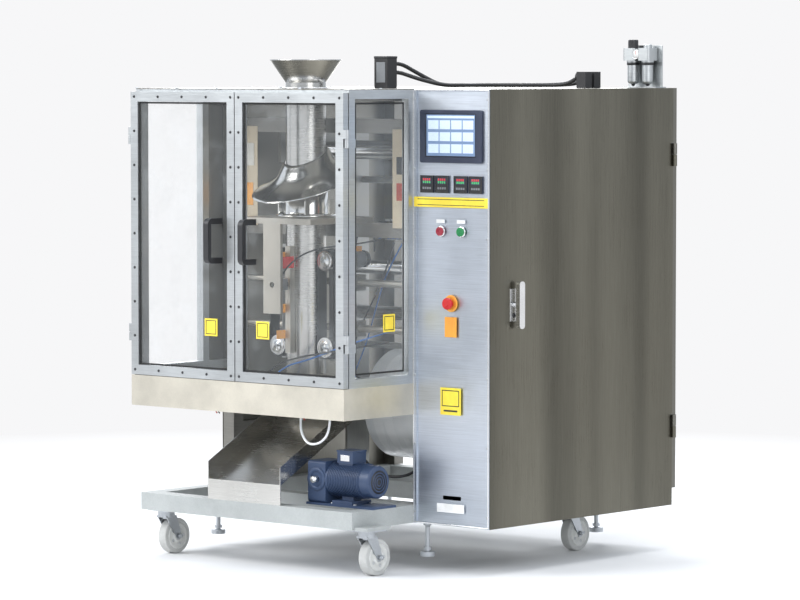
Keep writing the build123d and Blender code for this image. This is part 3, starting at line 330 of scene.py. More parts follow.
def build_materials():
    """Every finish on the machine, by the name of what carries it."""
    finish = bpy.context.scene.sealer_finish
    rgb = {key: tuple(getattr(finish, key)) for key in ("door_steel", "panel_steel", "table_steel",
                                                        "label_yellow", "pane_tint")}
    return {
        # Door: a dark tint with deep vertical bands. The bands are painted shade, and the tint is darkened to
        # stand in for shade on the door.
        "door": brushed("Cabinet door steel", rgb["door_steel"], 0.30, (24, 24, 0.5),
                        (0, 1.3, 0.05), 0.42, 0.04),
        "shell": brushed("Cabinet shell steel", (0.25, 0.24, 0.21), 0.33, (24, 24, 0.5),
                         (1, 1, 0.05), 0.3, 0.05),
        "panel": brushed("Control panel steel", rgb["panel_steel"], 0.36, (0.5, 1, 30),
                         (1, 1, 0.3), 0.14, 0.05),
        "trim": polished("Bright edge trim", (0.86, 0.86, 0.86), 0.16, (1, 1, 40)),
        "tube": brushed("Forming tube steel", (0.66, 0.65, 0.62), 0.22, (1, 1, 50), (1, 1, 0.1), 0.1),
        "table": coated("Blasted table steel", rgb["table_steel"], 0.42, 500.0, 0.10, 0.12, 0.85),
        "jaw": coated("Blasted jaw steel", (0.52, 0.49, 0.43), 0.40, 480.0, 0.12, 0.10, 0.9),
        "frame": coated("Grey frame paint", (0.44, 0.46, 0.45), 0.46),
        "inner_frame": brushed("Brushed inner frame", (0.27, 0.26, 0.235), 0.36, (1, 1, 12), (1, 1, 1), 0.12),
        "alu": brushed("Anodised aluminium", (0.56, 0.58, 0.585), 0.38, (1, 1, 40), (1, 1, 1), 0.08),
        "plates": brushed("Milled side plates", (0.42, 0.42, 0.40), 0.40, (1, 30, 1), (1, 1, 1), 0.12),
        "bright": polished("Ground shafts", (0.74, 0.74, 0.73)),
        "collar": polished("Polished shoulder", (0.80, 0.79, 0.76), 0.10, (1, 1, 6)),
        "knife": polished("Knife steel", (0.82, 0.82, 0.82), 0.08),
        "zinc": coated("Zinc plating", (0.52, 0.54, 0.56), 0.34, 300.0, 0.05, 0.14, 0.9),
        "pane": clear_sheet("Guard sheet", rgb["pane_tint"], 0.035, 0.42),
        "black": moulded("Black moulding", (0.022, 0.022, 0.024)),
        "navy": moulded("Screen bezel", (0.035, 0.045, 0.085), 0.30),
        "instruments": moulded("Screen and controller housings", (0.030, 0.038, 0.066), 0.32),
        "grey": moulded("Drive housings", (0.20, 0.21, 0.22), 0.45),
        "cream": moulded("Relay housings", (0.62, 0.60, 0.54), 0.45),
        "red": moulded("Red cap", (0.55, 0.02, 0.02), 0.22, 300.0, 0.05),
        "green": moulded("Green cap", (0.02, 0.22, 0.07), 0.25, 300.0, 0.05),
        "dark_red": moulded("Stop cap", (0.33, 0.03, 0.05), 0.25, 300.0, 0.05),
        "orange": moulded("Orange plate", (0.86, 0.36, 0.05), 0.42),
        "yellow": moulded("Yellow plate", rgb["label_yellow"], 0.40),
        "white": moulded("White plate", (0.82, 0.82, 0.80), 0.42),
        "copper_red": moulded("Red lead", (0.42, 0.05, 0.03), 0.35),
        "blue": coated("Blue motor paint", (0.045, 0.075, 0.15), 0.36, 260.0, 0.14),
        "beige": coated("Beige plate", (0.66, 0.56, 0.40), 0.48, 300.0, 0.10),
        "cardboard": moulded("Cardboard core", (0.42, 0.30, 0.18), 0.80, 200.0, 0.25),
        "blue_fitting": moulded("Blue fitting", (0.02, 0.10, 0.34), 0.30),
        "air_blue": moulded("Blue air line", (0.03, 0.14, 0.42), 0.30),
        "blue_wire": moulded("Blue lead", (0.03, 0.10, 0.34), 0.35),
        "hub": moulded("Pale wheel hub", (0.60, 0.60, 0.57), 0.45, 300.0, 0.15),
        "rubber": moulded("Black rubber", (0.018, 0.018, 0.018), 0.62, 600.0, 0.25),
        "tread": moulded("Grey tread", (0.50, 0.50, 0.48), 0.58, 500.0, 0.25),
        "cable": moulded("Cable sheath", (0.020, 0.020, 0.021), 0.42, 700.0, 0.10),
        "hose": moulded("White air hose", (0.80, 0.82, 0.83), 0.25, 400.0, 0.06),
        "film": wound_film("Wound film"),
        "screen": glowing("Screen face", (0.17, 0.25, 0.40), 0.35),
        "tile": glowing("Screen tiles", (0.52, 0.62, 0.76), 0.55),
        "digits": glowing("Red digits", (0.85, 0.05, 0.02), 1.2),
        "digits_green": glowing("Green digits", (0.10, 0.70, 0.18), 1.0),
    }


# --- Mesh building ----------------------------------------------------------------------------

MATERIALS = {}


def place(mesh, name, body, slot, *materials):
    """Puts a finished mesh in the scene at the origin and gives it to its body. The slot is not used."""
    for key in materials:
        mesh.materials.append(MATERIALS[key])
    piece = bpy.data.objects.new(name, mesh)
    bpy.context.scene.collection.objects.link(piece)
    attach(piece, body)
    return piece


def shape(name, build, body, slot, *materials):
    """Runs a bmesh builder and places what it makes."""
    bm = bmesh.new()
    build(bm)
    bmesh.ops.recalc_face_normals(bm, faces=bm.faces)
    mesh = bpy.data.meshes.new(name)
    bm.to_mesh(mesh)
    bm.free()
    return place(mesh, name, body, slot, *materials)


def add_block(bm, low, high, bevel=0.0, index=0):
    """A block between two corners, with rounded edges where a bevel is given."""
    low, high = Vector(low), Vector(high)
    before = set(bm.faces)
    place = Matrix.Translation((low + high) / 2) @ Matrix.Diagonal((*(high - low), 1))
    made = bmesh.ops.create_cube(bm, size=1.0, matrix=place)
    if bevel:
        edges = {e for v in made["verts"] for e in v.link_edges}
        bmesh.ops.bevel(bm, geom=list(edges), offset=bevel, segments=2, affect="EDGES", profile=0.5)
    for f in bm.faces:
        if f not in before:
            f.material_index = index


def add_lathe(bm, centre, axis, profile, steps=32, index=0):
    """A closed turned shape: (radius, height) pairs along an axis."""
    turn = Vector(axis).to_track_quat("Z", "Y").to_matrix().to_4x4()
    turn = Matrix.Translation(centre) @ turn
    rings = []
    for r, h in profile:
        if r < 1e-6:
            rings.append([bm.verts.new(turn @ Vector((0, 0, h)))])
        else:
            angles = [2 * math.pi * k / steps for k in range(steps)]
            rings.append([bm.verts.new(turn @ Vector((r * math.cos(a), r * math.sin(a), h))) for a in angles])
    for a, b in zip(rings, rings[1:]):
        for k in range(steps):
            n = (k + 1) % steps
            corners = [a[k % len(a)], a[n % len(a)], b[n % len(b)], b[k % len(b)]]
            unique = list(dict.fromkeys(corners))
            if len(unique) > 2:
                face = bm.faces.new(unique)
                face.material_index = index
                face.smooth = True


def add_ring(bm, centre, axis, r_in, r_out, h0, h1, steps=32, index=0):
    """A closed ring with a rectangular section."""
    profile = [(r_in, h0), (r_out, h0), (r_out, h1), (r_in, h1), (r_in, h0)]
    add_lathe(bm, centre, axis, profile, steps, index)


def add_frame(bm, low, high, width, axis, bevel=0.0, index=0):
    """A flat rectangular frame, thin along one axis."""
    low, high = list(low), list(high)
    u, v = [k for k in range(3) if k != axis]
    for along, across in ((u, v), (v, u)):
        for end in (0, 1):
            a, b = list(low), list(high)
            if end:
                a[across] = high[across] - width
            else:
                b[across] = low[across] + width
            if along == v:
                a[along] += width
                b[along] -= width
            add_block(bm, a, b, bevel, index)


def add_tube(bm, points, radius, steps=12, index=0):
    """A round wire through the given points, closed at both ends."""
    pts = [Vector(p) for p in points]
    rings, side = [], None
    for k, p in enumerate(pts):
        ahead = (pts[min(k + 1, len(pts) - 1)] - pts[max(k - 1, 0)]).normalized()
        side = ahead.orthogonal() if side is None else side - ahead * side.dot(ahead)
        side.normalize()
        other = ahead.cross(side)
        angles = [2 * math.pi * n / steps for n in range(steps)]
        rings.append([bm.verts.new(p + radius * (math.cos(a) * side + math.sin(a) * other)) for a in angles])
    for a, b in zip(rings, rings[1:]):
        for n in range(steps):
            m = (n + 1) % steps
            face = bm.faces.new((a[n], a[m], b[m], b[n]))
            face.material_index = index
            face.smooth = True
    for ring in (rings[0][::-1], rings[-1]):
        bm.faces.new(ring).material_index = index


def smooth_path(points, per_run=6):
    """Points on a smooth open line near the given corners."""
    curve = bpy.data.curves.new("path", "CURVE")
    curve.dimensions = "3D"
    spline = curve.splines.new("NURBS")
    spline.points.add(len(points) - 1)
    for target, p in zip(spline.points, points):
        target.co = (*p, 1)
    spline.order_u = 3
    spline.use_endpoint_u = True
    spline.resolution_u = per_run
    holder = bpy.data.objects.new("path", curve)
    mesh = bpy.data.meshes.new_from_object(holder)
    found = [v.co.copy() for v in mesh.vertices]
    for block, group in ((holder, bpy.data.objects), (curve, bpy.data.curves), (mesh, bpy.data.meshes)):
        group.remove(block)
    return found


# --- Geometry Nodes ---------------------------------------------------------------------------

class Tree:
    """A small geometry node tree with named inputs."""

    def __init__(self, name, sockets):
        self.group = bpy.data.node_groups.new(name, "GeometryNodeTree")
        face = self.group.interface
        face.new_socket("Geometry", in_out="OUTPUT", socket_type="NodeSocketGeometry")
        face.new_socket("Geometry", in_out="INPUT", socket_type="NodeSocketGeometry")
        for title, kind in sockets:
            face.new_socket(title, in_out="INPUT", socket_type="NodeSocket" + kind)
        self.input = self.group.nodes.new("NodeGroupInput")
        self.output = self.group.nodes.new("NodeGroupOutput")

    def add(self, kind, **settings):
        node = self.group.nodes.new("GeometryNode" + kind)
        for key, value in settings.items():
            setattr(node, key, value)
        return node

    def join(self, source, out, target, into):
        self.group.links.new(source.outputs[out], target.inputs[into])

    def finish(self, source, out):
        """Ends the tree in Realize Instances and Set Material."""
        real = self.add("RealizeInstances")
        paint = self.add("SetMaterial")
        self.join(source, out, real, "Geometry")
        self.join(real, "Geometry", paint, "Geometry")
        self.join(self.input, "Material", paint, "Material")
        self.join(paint, "Geometry", self.output, "Geometry")
        return self.group


def scatter_tree():
    """Copies of one shape at each point, turned by the points' own turn attribute."""
    tree = Tree("Copies at points", (("Shape", "Object"), ("Size", "Float"), ("Material", "Material")))
    points = tree.add("MeshToPoints")
    shape_info = tree.add("ObjectInfo")
    turn = tree.add("InputNamedAttribute", data_type="FLOAT_VECTOR")
    turn.inputs["Name"].default_value = "turn"
    copies = tree.add("InstanceOnPoints")
    tree.join(tree.input, "Geometry", points, "Mesh")
    tree.join(tree.input, "Shape", shape_info, "Object")
    tree.join(points, "Points", copies, "Points")
    tree.join(shape_info, "Geometry", copies, "Instance")
    tree.join(turn, "Attribute", copies, "Rotation")
    tree.join(tree.input, "Size", copies, "Scale")
    return tree.finish(copies, "Instances")


def row_tree():
    """A straight row of blocks: count, pitch and block size."""
    tree = Tree("Row of blocks",
                (("Count", "Int"), ("Start", "Vector"), ("Pitch", "Vector"), ("Block", "Vector"),
                                  ("Turn", "Rotation"), ("Material", "Material")))
    line = tree.add("MeshLine", mode="OFFSET")
    cube = tree.add("MeshCube")
    copies = tree.add("InstanceOnPoints")
    for title, into in (("Count", "Count"), ("Start", "Start Location"), ("Pitch", "Offset")):
        tree.join(tree.input, title, line, into)
    tree.join(tree.input, "Block", cube, "Size")
    tree.join(line, "Mesh", copies, "Points")
    tree.join(cube, "Mesh", copies, "Instance")
    tree.join(tree.input, "Turn", copies, "Rotation")
    return tree.finish(copies, "Instances")


def ring_tree():
    """A row of thin discs along an axis, as on a ribbed motor."""
    tree = Tree("Row of fins",
                (("Count", "Int"), ("Start", "Vector"), ("Pitch", "Vector"), ("Radius", "Float"),
                                ("Thickness", "Float"), ("Turn", "Rotation"), ("Material", "Material")))
    line = tree.add("MeshLine", mode="OFFSET")
    disc = tree.add("MeshCylinder")
    disc.inputs["Vertices"].default_value = 40
    copies = tree.add("InstanceOnPoints")
    for title, node, into in (("Count", line, "Count"), ("Start", line, "Start Location"),
                              ("Pitch", line, "Offset"),
                              ("Radius", disc, "Radius"), ("Thickness", disc, "Depth"),
                              ("Turn", copies, "Rotation")):
        tree.join(tree.input, title, node, into)
    tree.join(line, "Mesh", copies, "Points")
    tree.join(disc, "Mesh", copies, "Instance")
    return tree.finish(copies, "Instances")


def belt_tree():
    """Teeth spaced evenly round a closed loop, facing along it."""
    tree = Tree("Teeth on a loop", (("Pitch", "Float"), ("Tooth", "Vector"), ("Material", "Material")))
    curve = tree.add("MeshToCurve")
    points = tree.add("CurveToPoints", mode="LENGTH")
    cube = tree.add("MeshCube")
    copies = tree.add("InstanceOnPoints")
    tree.join(tree.input, "Geometry", curve, "Mesh")
    tree.join(curve, "Curve", points, "Curve")
    tree.join(tree.input, "Pitch", points, "Length")
    tree.join(tree.input, "Tooth", cube, "Size")
    tree.join(points, "Points", copies, "Points")
    tree.join(points, "Rotation", copies, "Rotation")
    tree.join(cube, "Mesh", copies, "Instance")
    return tree.finish(copies, "Instances")


def grow(name, tree, values, body, slot, base=None):
    """Runs a tree on a base mesh and keeps the result as a plain mesh."""
    base = base or bpy.data.meshes.new(name)
    holder = bpy.data.objects.new(name + "_holder", base)
    bpy.context.scene.collection.objects.link(holder)
    modifier = holder.modifiers.new("Grow", "NODES")
    modifier.node_group = tree
    sockets = {s.name: s.identifier for s in tree.interface.items_tree if s.in_out == "INPUT"}
    for title, value in values.items():
        modifier[sockets[title]] = value
    bpy.context.view_layer.update()
    graph = bpy.context.evaluated_depsgraph_get()
    mesh = bpy.data.meshes.new_from_object(holder.evaluated_get(graph))
    holder.modifiers.clear()
    bpy.data.objects.remove(holder)
    mesh.name = name
    return place(mesh, name, body, slot)


def point_mesh(name, places):
    """Loose vertices with a turn for each: (point, facing direction)."""
    mesh = bpy.data.meshes.new(name)
    mesh.from_pydata([p for p, _ in places], [], [])
    turn = mesh.attributes.new("turn", "FLOAT_VECTOR", "POINT")
    for item, (_, facing) in zip(turn.data, places):
        item.vector = Vector(facing).to_track_quat("Z", "Y").to_euler()
    return mesh


def copies(name, form, size, places, material, body, slot):
    """Copies of a small shape, one at each place."""
    values = {"Shape": form, "Size": size, "Material": MATERIALS[material]}
    return grow(name, TREES["scatter"], values, body, slot, point_mesh(name, places))


TREES = {}
FORMS = {}


def make_form(name, build):
    """A small unit shape, kept out of the scene, that a tree copies."""
    bm = bmesh.new()
    build(bm)
    bmesh.ops.recalc_face_normals(bm, faces=bm.faces)
    mesh = bpy.data.meshes.new(name)
    bm.to_mesh(mesh)
    bm.free()
    FORMS[name] = bpy.data.objects.new(name, mesh)


def screw_form(bm):
    """Button-head screw of unit radius with a hexagon socket."""
    add_lathe(bm, (0, 0, 0), UP, [(0, -0.15), (1, -0.15), (1, 0.12), (0.86, 0.36), (0.50, 0.52), (0.46, 0.52),
                                  (0.40, 0.2), (0, 0.2)], 12)


def nut_form(bm):
    """Hexagon nut with a stub of thread."""
    add_lathe(bm, (0, 0, 0), UP, [(0, -0.1), (1, -0.1), (1, 0.62), (0.9, 0.7), (0.56, 0.7)], 6)
    add_lathe(bm, (0, 0, 0), UP, [(0.56, 0.6), (0.56, 1.1), (0, 1.1)], 10)


# --- Operators --------------------------------------------------------------------------------

def sizes():
    return bpy.context.scene.sealer_sizes


def grid(low, high, count):
    """Evenly spaced values from low to high, ends included."""
    return [low + (high - low) * k / (count - 1) for k in range(count)]


class SEALER_OT_stage(bpy.types.Operator):
    """Add the floor, the soft lights and the camera"""
    bl_idname = "sealer.stage"
    bl_label = "Stage"

    def execute(self, context):
        stage = context.scene.sealer_stage
        reach = 60.0
        mesh = bpy.data.meshes.new("floor")
        mesh.from_pydata([(x, y, 0)
                          for x, y in ((-reach, -reach), (reach, -reach), (reach, reach), (-reach, reach))],
                         [], [(0, 1, 2, 3)])
        material, tree, shader = new_material("Pale floor")
        grain = pattern(tree, "Noise", 3.0, detail=4.0).outputs["Fac"]
        distance = tree.nodes.new("ShaderNodeVectorMath")
        distance.operation = "LENGTH"
        spread = tree.nodes.new("ShaderNodeVectorMath")
        spread.operation = "SCALE"
        spread.inputs["Scale"].default_value = 0.125
        link(tree, tree.nodes.new("ShaderNodeTexCoord").outputs["Object"], spread.inputs[0])
        link(tree, spread.outputs["Vector"], distance.inputs[0])
        near, far = 0.22, 0.60
        tone = ramp(tree, grain, (0.80, 0.80, 0.80), (0.84, 0.84, 0.84))
        fade = ramp(tree, distance.outputs["Value"], 1.0, 0.0, near, far)
        link(tree, blend_colours(tree, "MULTIPLY", 1.0, tone, fade), shader.inputs["Base Color"])
        link(tree, ramp(tree, distance.outputs["Value"], 0.0, 1.0, near, far),
             shader.inputs["Emission Strength"])
        shader.inputs["Emission Color"].default_value = (0.93, 0.93, 0.94, 1)
        shader.inputs["Specular IOR Level"].default_value = 0.0
        shader.inputs["Roughness"].default_value = 0.9
        mesh.materials.append(material)
        floor = bpy.data.objects.new("floor", mesh)
        context.scene.collection.objects.link(floor)

        lights = (("key", (-3.0, -5.0, 4.6), 3.6, 300.0), ("fill", (5.4, -2.6, 3.2), 3.0, 90.0),
                  ("top", (0.3, 0.6, 5.4), 4.0, 170.0), ("rim", (-3.5, 4.0, 3.4), 2.6, 150.0))
        for name, where, size, power in lights:
            lamp = bpy.data.lights.new(name, "AREA")
            lamp.size, lamp.energy = size, power
            holder = bpy.data.objects.new(name, lamp)
            holder.location = where
            holder.rotation_euler = (Vector((0, 0, 0.9)) - Vector(where)).to_track_quat("-Z", "Y").to_euler()
            holder.visible_camera = False
            context.scene.collection.objects.link(holder)
        world = bpy.data.worlds.new("soft room")
        world.use_nodes = True
        tree = world.node_tree
        background = tree.nodes["Background"]
        height = tree.nodes.new("ShaderNodeSeparateXYZ")
        direction = tree.nodes.new("ShaderNodeNewGeometry")
        link(tree, direction.outputs["Incoming"], height.inputs["Vector"])
        seen = tree.nodes.new("ShaderNodeLightPath").outputs["Is Camera Ray"]
        room = ramp(tree, height.outputs["Z"], (0.80, 0.86, 0.95), (0.20, 0.19, 0.165), -0.55, 0.05)
        link(tree, blend_colours(tree, "MIX", seen, room, (0.93, 0.93, 0.94)), background.inputs["Color"])
        background.inputs["Strength"].default_value = 1.0
        context.scene.world = world
        context.scene.view_settings.view_transform = "Standard"

        camera = bpy.data.objects.new("camera", bpy.data.cameras.new("camera"))
        aim = Vector((0.0, 0.0, (CAD_BOX[0][2] + CAD_BOX[1][2]) / 2 - 0.01))
        camera.location = (stage.distance * math.sin(stage.azimuth),
                           -stage.distance * math.cos(stage.azimuth),
                           stage.eye_height)
        camera.rotation_euler = (aim - camera.location).to_track_quat("-Z", "Y").to_euler()
        camera.data.lens = stage.lens
        context.scene.collection.objects.link(camera)
        context.scene.camera = camera
        return {"FINISHED"}


class SEALER_OT_air_hose(bpy.types.Operator):
    """Add the white air hose that loops below the table"""
    bl_idname = "sealer.air_hose"
    bl_label = "Air hose"

    def execute(self, context):
        route = [(200, -590, 535), (200, -590, 481), (163, -598, 440), (108, -601, 434), (74, -597, 474),
                 (67, -590, 517), (67, -590, 560)]
        curve = bpy.data.curves.new("air_hose_line", "CURVE")
        curve.dimensions = "3D"
        spline = curve.splines.new("NURBS")
        spline.points.add(len(route) - 1)
        for target, p in zip(spline.points, route):
            target.co = (*(v / 1000 for v in p), 1)
        spline.order_u = 3
        spline.use_endpoint_u = True
        spline.resolution_u = 10
        curve.bevel_depth = 0.004
        curve.bevel_resolution = 5
        curve.use_fill_caps = True
        curve.materials.append(MATERIALS["hose"])
        hose = bpy.data.objects.new("air_hose_loop", curve)
        context.scene.collection.objects.link(hose)
        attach(hose, "machine")
        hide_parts("air_hose")
        return {"FINISHED"}


# Labels: depth into the face under them and edge bevel, both in metres
SUNK = 0.0003
FINE = 0.0002
# Heights of printed bars and borders, in thicknesses of a label
PRINT_RISE = 1.6
FRAME_RISE = 1.7
# Places in metres that no box of a node gives
STRIP_Z = (1.237, 1.271)  # top strip of the control panel
AIR_XS = (0.523, 0.587)  # axes of the two bowls of the air unit
AIR_Y = 0.655
TUBE_Y = -0.305  # axis of the forming tube
RING_BOLTS = 0.091  # radius of the bolt circle round the funnel
DRIVE_MOTOR = (-0.460, 0.308, 0.0275)  # y and z of the axis, x where it starts

CARRIED = {
    "base_frame": "frame", "upright_frame": "inner_frame", "cabinet_shell": "shell", "control_panel": "panel",
    "panel_instruments": "instruments", "electrical_rack": "grey", "front_table": "table",
    "guard_frame": "alu", "guard_side_panes": "pane", "cover_panels": "shell", "film_side_plates": "plates",
    "forming_tube": "tube", "former_support": "jaw", "air_cylinders": "alu", "jaw_frame": "plates",
    "discharge_chute": "tube", "drive_motor": "blue", "air_unit": "alu", "top_cables": "cable",
    "caster_mounts": "zinc",
    "cabinet_door": "door", "cabinet_door_handle": "trim", "emergency_stop": "red", "stop_button": "dark_red",
    "start_button": "green", "regulator_knob": "black", "film_roll": "film", "unwind_shaft": "bright",
    "dancer_arm": "plates", "dancer_roller": "bright", "lower_guide_roller": "bright",
    "upper_guide_roller": "bright",
    "infeed_guide_roller": "bright", "vertical_seal_bar": "jaw", "front_jaw": "jaw", "rear_jaw": "jaw",
    "knife": "knife", "levelling_feet": "zinc",
}
PAIRED = {"guard_door_": "alu", "guard_pane_": "pane", "guard_handle_": "black", "belt_carriage_": "plates",
          "film_belt_": "rubber", "belt_drive_pulley_": "bright", "belt_idler_pulley_": "bright",
          "wheel_front_": "tread", "wheel_rear_": "tread", "caster_fork_front_": "zinc"}


class SEALER_OT_carried_finishes(bpy.types.Operator):
    """Give every carried-over part of the frame its finish"""
    bl_idname = "sealer.carried_finishes"
    bl_label = "Part finishes"

    def execute(self, context):
        finishes = dict(CARRIED)
        for start, finish in PAIRED.items():
            for side in ("left", "right"):
                finishes[start + side] = finish
        for node, finish in finishes.items():
            if node in frame["nodes"]:
                for entry in frame["nodes"][node].material_slots:
                    entry.material = MATERIALS[finish]
        return {"FINISHED"}


class SEALER_OT_forming_shoulder(bpy.types.Operator):
    """Model the polished forming shoulder that turns the film round the tube"""
    bl_idname = "sealer.forming_shoulder"
    bl_label = "Forming shoulder"

    def execute(self, context):
        low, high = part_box("forming_collar")
        tube_low, tube_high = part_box("forming_tube")
        cx, cy = (low[0] + high[0]) / 2, (tube_low[1] + tube_high[1]) / 2
        neck, wall = 0.0745, 0.002
        base = low[2]
        ridge, fall = base + 0.215, 0.075
        rows, steps = 14, 72

        def point(row, k, inside):
            angle = 2 * math.pi * k / steps
            back = math.sin(angle)
            top = ridge + fall * back * 0.5
            t = row / rows
            flare = t ** 1.35
            reach = neck + (0.105 - 0.012 * back) * flare
            drop = (0.095 - 0.030 * back) * t ** 0.85 + 0.010 * math.sin(math.pi * t)
            radius = reach - (wall if inside else 0)
            return (cx + radius * math.cos(angle), cy + radius * math.sin(angle),
                    top - drop + (0.010 * math.sin(math.pi * min(1, 3 * t)) if t else 0))

        def build(bm):
            outer = [[bm.verts.new(point(row, k, False)) for k in range(steps)] for row in range(rows + 1)]
            inner = [[bm.verts.new(Vector(point(row, k, True)) - Vector((0, 0, wall))) for k in range(steps)]
                     for row in range(rows + 1)]
            for sheet in (outer, inner):
                for a, b in zip(sheet, sheet[1:]):
                    for k in range(steps):
                        n = (k + 1) % steps
                        bm.faces.new((a[k], a[n], b[n], b[k])).smooth = True
            for a, b in ((outer[0], inner[0]), (outer[-1], inner[-1])):
                for k in range(steps):
                    n = (k + 1) % steps
                    bm.faces.new((a[k], a[n], b[n], b[k]))

        shoulder = shape("forming_shoulder", build, "machine", "bright_steel", "collar")

        def build_sleeve(bm):
            height = 0.172
            add_lathe(bm, (cx, cy, base), UP,
                      [(0.0735, 0), (0.103, 0), (0.103, 0.008), (0.080, 0.008), (0.0785, 0.012),
                                               (0.0768, 0.02), (0.0768, height),
                                               (0.0735, height), (0.0735, 0)], 64)
            for k in range(4):
                a = math.pi / 4 + k * math.pi / 2
                foot = Vector((cx + 0.088 * math.cos(a), cy + 0.088 * math.sin(a), base + 0.008))
                add_block(bm, foot - Vector((0.002, 0.012, 0)), foot + Vector((0.002, 0.012, 0.05)), 0.0005)

        shape("forming_sleeve", build_sleeve, "machine", "bright_steel", "collar")
        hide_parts("forming_collar")
        copies("sleeve_bolts", FORMS["screw"], 0.006,
               [((cx + 0.09 * math.cos(a), cy + 0.09 * math.sin(a), base + 0.008), UP)
                                                       for a in grid(0, 2 * math.pi * 5 / 6, 6)],
               "zinc", "machine", "zinc")
        return {"FINISHED"}


class SEALER_OT_screws(bpy.types.Operator):
    """Add the rows of screws that hold the sheets and plates"""
    bl_idname = "sealer.screws"
    bl_label = "Screws"

    def execute(self, context):
        r = sizes().screw_radius
        inset = 0.016

        def edge_points(low, high, axis, plane, facing, counts):
            u, v = [k for k in range(3) if k != axis]
            out = []
            for a in grid(low[u] + inset, high[u] - inset, counts[0]):
                for b in (low[v] + inset, high[v] - inset):
                    out.append((a, b))
            for b in grid(low[v] + inset, high[v] - inset, counts[1])[1:-1]:
                for a in (low[u] + inset, high[u] - inset):
                    out.append((a, b))
            places = []
            for a, b in out:
                p = [0, 0, 0]
                p[axis], p[u], p[v] = plane, a, b
                places.append((tuple(p), facing))
            return places

        shell_low, shell_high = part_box("cabinet_shell")
        cover_low, cover_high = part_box("cover_panels")
        top_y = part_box("guard_frame")[0][1]
        x_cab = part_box("control_panel")[0][0]
        copies("roof_screws", FORMS["screw"], r, edge_points(
            (cover_low[0] + 0.032, top_y, 0), (x_cab - 0.004, cover_high[1], 0), 2,
            cover_high[2], UP, (6, 8)),
            "zinc", "machine", "stainless")
        left = cover_low[0] + 0.032
        copies("side_cover_screws", FORMS["screw"], r, edge_points(
            (0, -0.205, 0.165), (0, cover_high[1], cover_high[2] - 0.004), 0, left, (-1, 0, 0), (6, 7)),
            "zinc", "machine", "stainless")
        copies("cabinet_rear_screws", FORMS["screw"], r, edge_points(
            (x_cab, 0, shell_low[2]), (shell_high[0] - 0.030, 0, shell_high[2]), 1, cover_high[1],
            (0, 1, 0), (3, 8)),
            "zinc", "machine", "stainless")
        panel_low, panel_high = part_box("control_panel")
        strip_x = (panel_low[0] + 0.007, panel_high[0] - 0.007)
        copies("panel_screws", FORMS["screw"], 0.0045, [((x, panel_low[1], z), FRONT) for x in strip_x
                                                        for z in grid(0.20, 1.60, 7)], "zinc",
                                                        "machine", "panel_steel")
        for side in ("left", "right"):
            low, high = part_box("guard_pane_" + side)
            grown_low = (low[0] - 0.033, 0, low[2] - 0.033)
            grown_high = (high[0] + 0.033, 0, high[2] + 0.033)
            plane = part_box("guard_door_" + side)[0][1]
            copies("guard_door_screws_" + side, FORMS["screw"], 0.005, edge_points(
                grown_low, grown_high, 1, plane, FRONT, (5, 9)), "black",
                "guard_door_" + side, "black_plastic")
            handle_low, handle_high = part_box("guard_handle_" + side)
            hx = (handle_low[0] + handle_high[0]) / 2
            copies("handle_screws_" + side, FORMS["screw"], 0.006,
                   [((hx, handle_high[1] + 0.005, z), (0, 1, 0))
                    for z in (handle_low[2] + 0.010, handle_high[2] - 0.010)],
                   "zinc", "guard_door_" + side, "zinc")
        return {"FINISHED"}


class SEALER_OT_control_face(bpy.types.Operator):
    """Add the trims, plates and button rings on the control panel"""
    bl_idname = "sealer.control_face"
    bl_label = "Control panel details"

    def execute(self, context):
        low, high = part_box("control_panel")
        front, left, right = low[1], low[0], high[0]
        middle = (left + right) / 2
        label = sizes().label_thickness

        def build_trim(bm):
            for x in (left, right):
                a, b = sorted((x, x + math.copysign(0.004, middle - x)))
                add_block(bm, (a, front - 0.0015, low[2] + 0.004),
                          (b, front + 0.0005, high[2] - 0.004), 0.0006)
            for z in (low[2] + 0.002, high[2] - 0.006):
                add_block(bm, (left + 0.004, front - 0.0012, z),
                          (right - 0.004, front + 0.0005, z + 0.004), 0.0006)

        shape("panel_edge_trims", build_trim, "machine", "bright_steel", "trim")

        def build_plates(bm):
            add_block(bm, (left + 0.004, front - label, STRIP_Z[0]),
                      (right - 0.004, front + SUNK, STRIP_Z[1]), FINE, 0)
            add_block(bm, (middle - 0.045, front - label, 0.537),
                      (middle + 0.045, front + SUNK, 0.629), FINE, 0)
            add_block(bm, (middle - 0.026, front - label, 0.800),
                      (middle + 0.026, front + SUNK, 0.868), FINE, 1)
            add_block(bm, (middle - 0.060, front - label, 0.206),
                      (middle + 0.060, front + SUNK, 0.236), FINE, 2)
            for x in (middle - 0.045, middle + 0.045):
                add_block(bm, (x - 0.018, front - label, 1.184), (x + 0.018, front + SUNK, 1.196), FINE, 2)
            for z in (1.2435, 1.2625):
                add_block(bm, (left + 0.02, front - PRINT_RISE * label, z),
                          (right - 0.02, front, z + 0.0022), FINE, 3)
            add_block(bm, (middle - 0.030, front - PRINT_RISE * label, 0.548),
                      (middle + 0.030, front, 0.554), FINE, 3)
            add_frame(bm, (middle - 0.038, front - PRINT_RISE * label, 0.566),
                      (middle + 0.038, front, 0.621), 0.003, 1, 0, 3)

        shape("panel_plates", build_plates, "machine", "panel_steel", "yellow", "orange", "white", "black")

        def build_rings(bm):
            for name, spread in (("stop_button", 1.25), ("start_button", 1.25), ("emergency_stop", 1.45)):
                b_low, b_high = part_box(name)
                centre = ((b_low[0] + b_high[0]) / 2, front, (b_low[2] + b_high[2]) / 2)
                r = (b_high[0] - b_low[0]) / 2
                tall = 0.0014 if name == "emergency_stop" else 0.003
                index = 1 if name == "emergency_stop" else 0
                add_lathe(bm, centre, FRONT, [(r * 0.42, 0), (r * spread, 0), (r * spread, tall * 0.6),
                                              (r * spread - 0.001, tall), (r * 0.42, tall),
                                              (r * 0.42, 0)], 48, index)

        shape("button_rings", build_rings, "machine", "bright_steel", "trim", "orange")
        return {"FINISHED"}


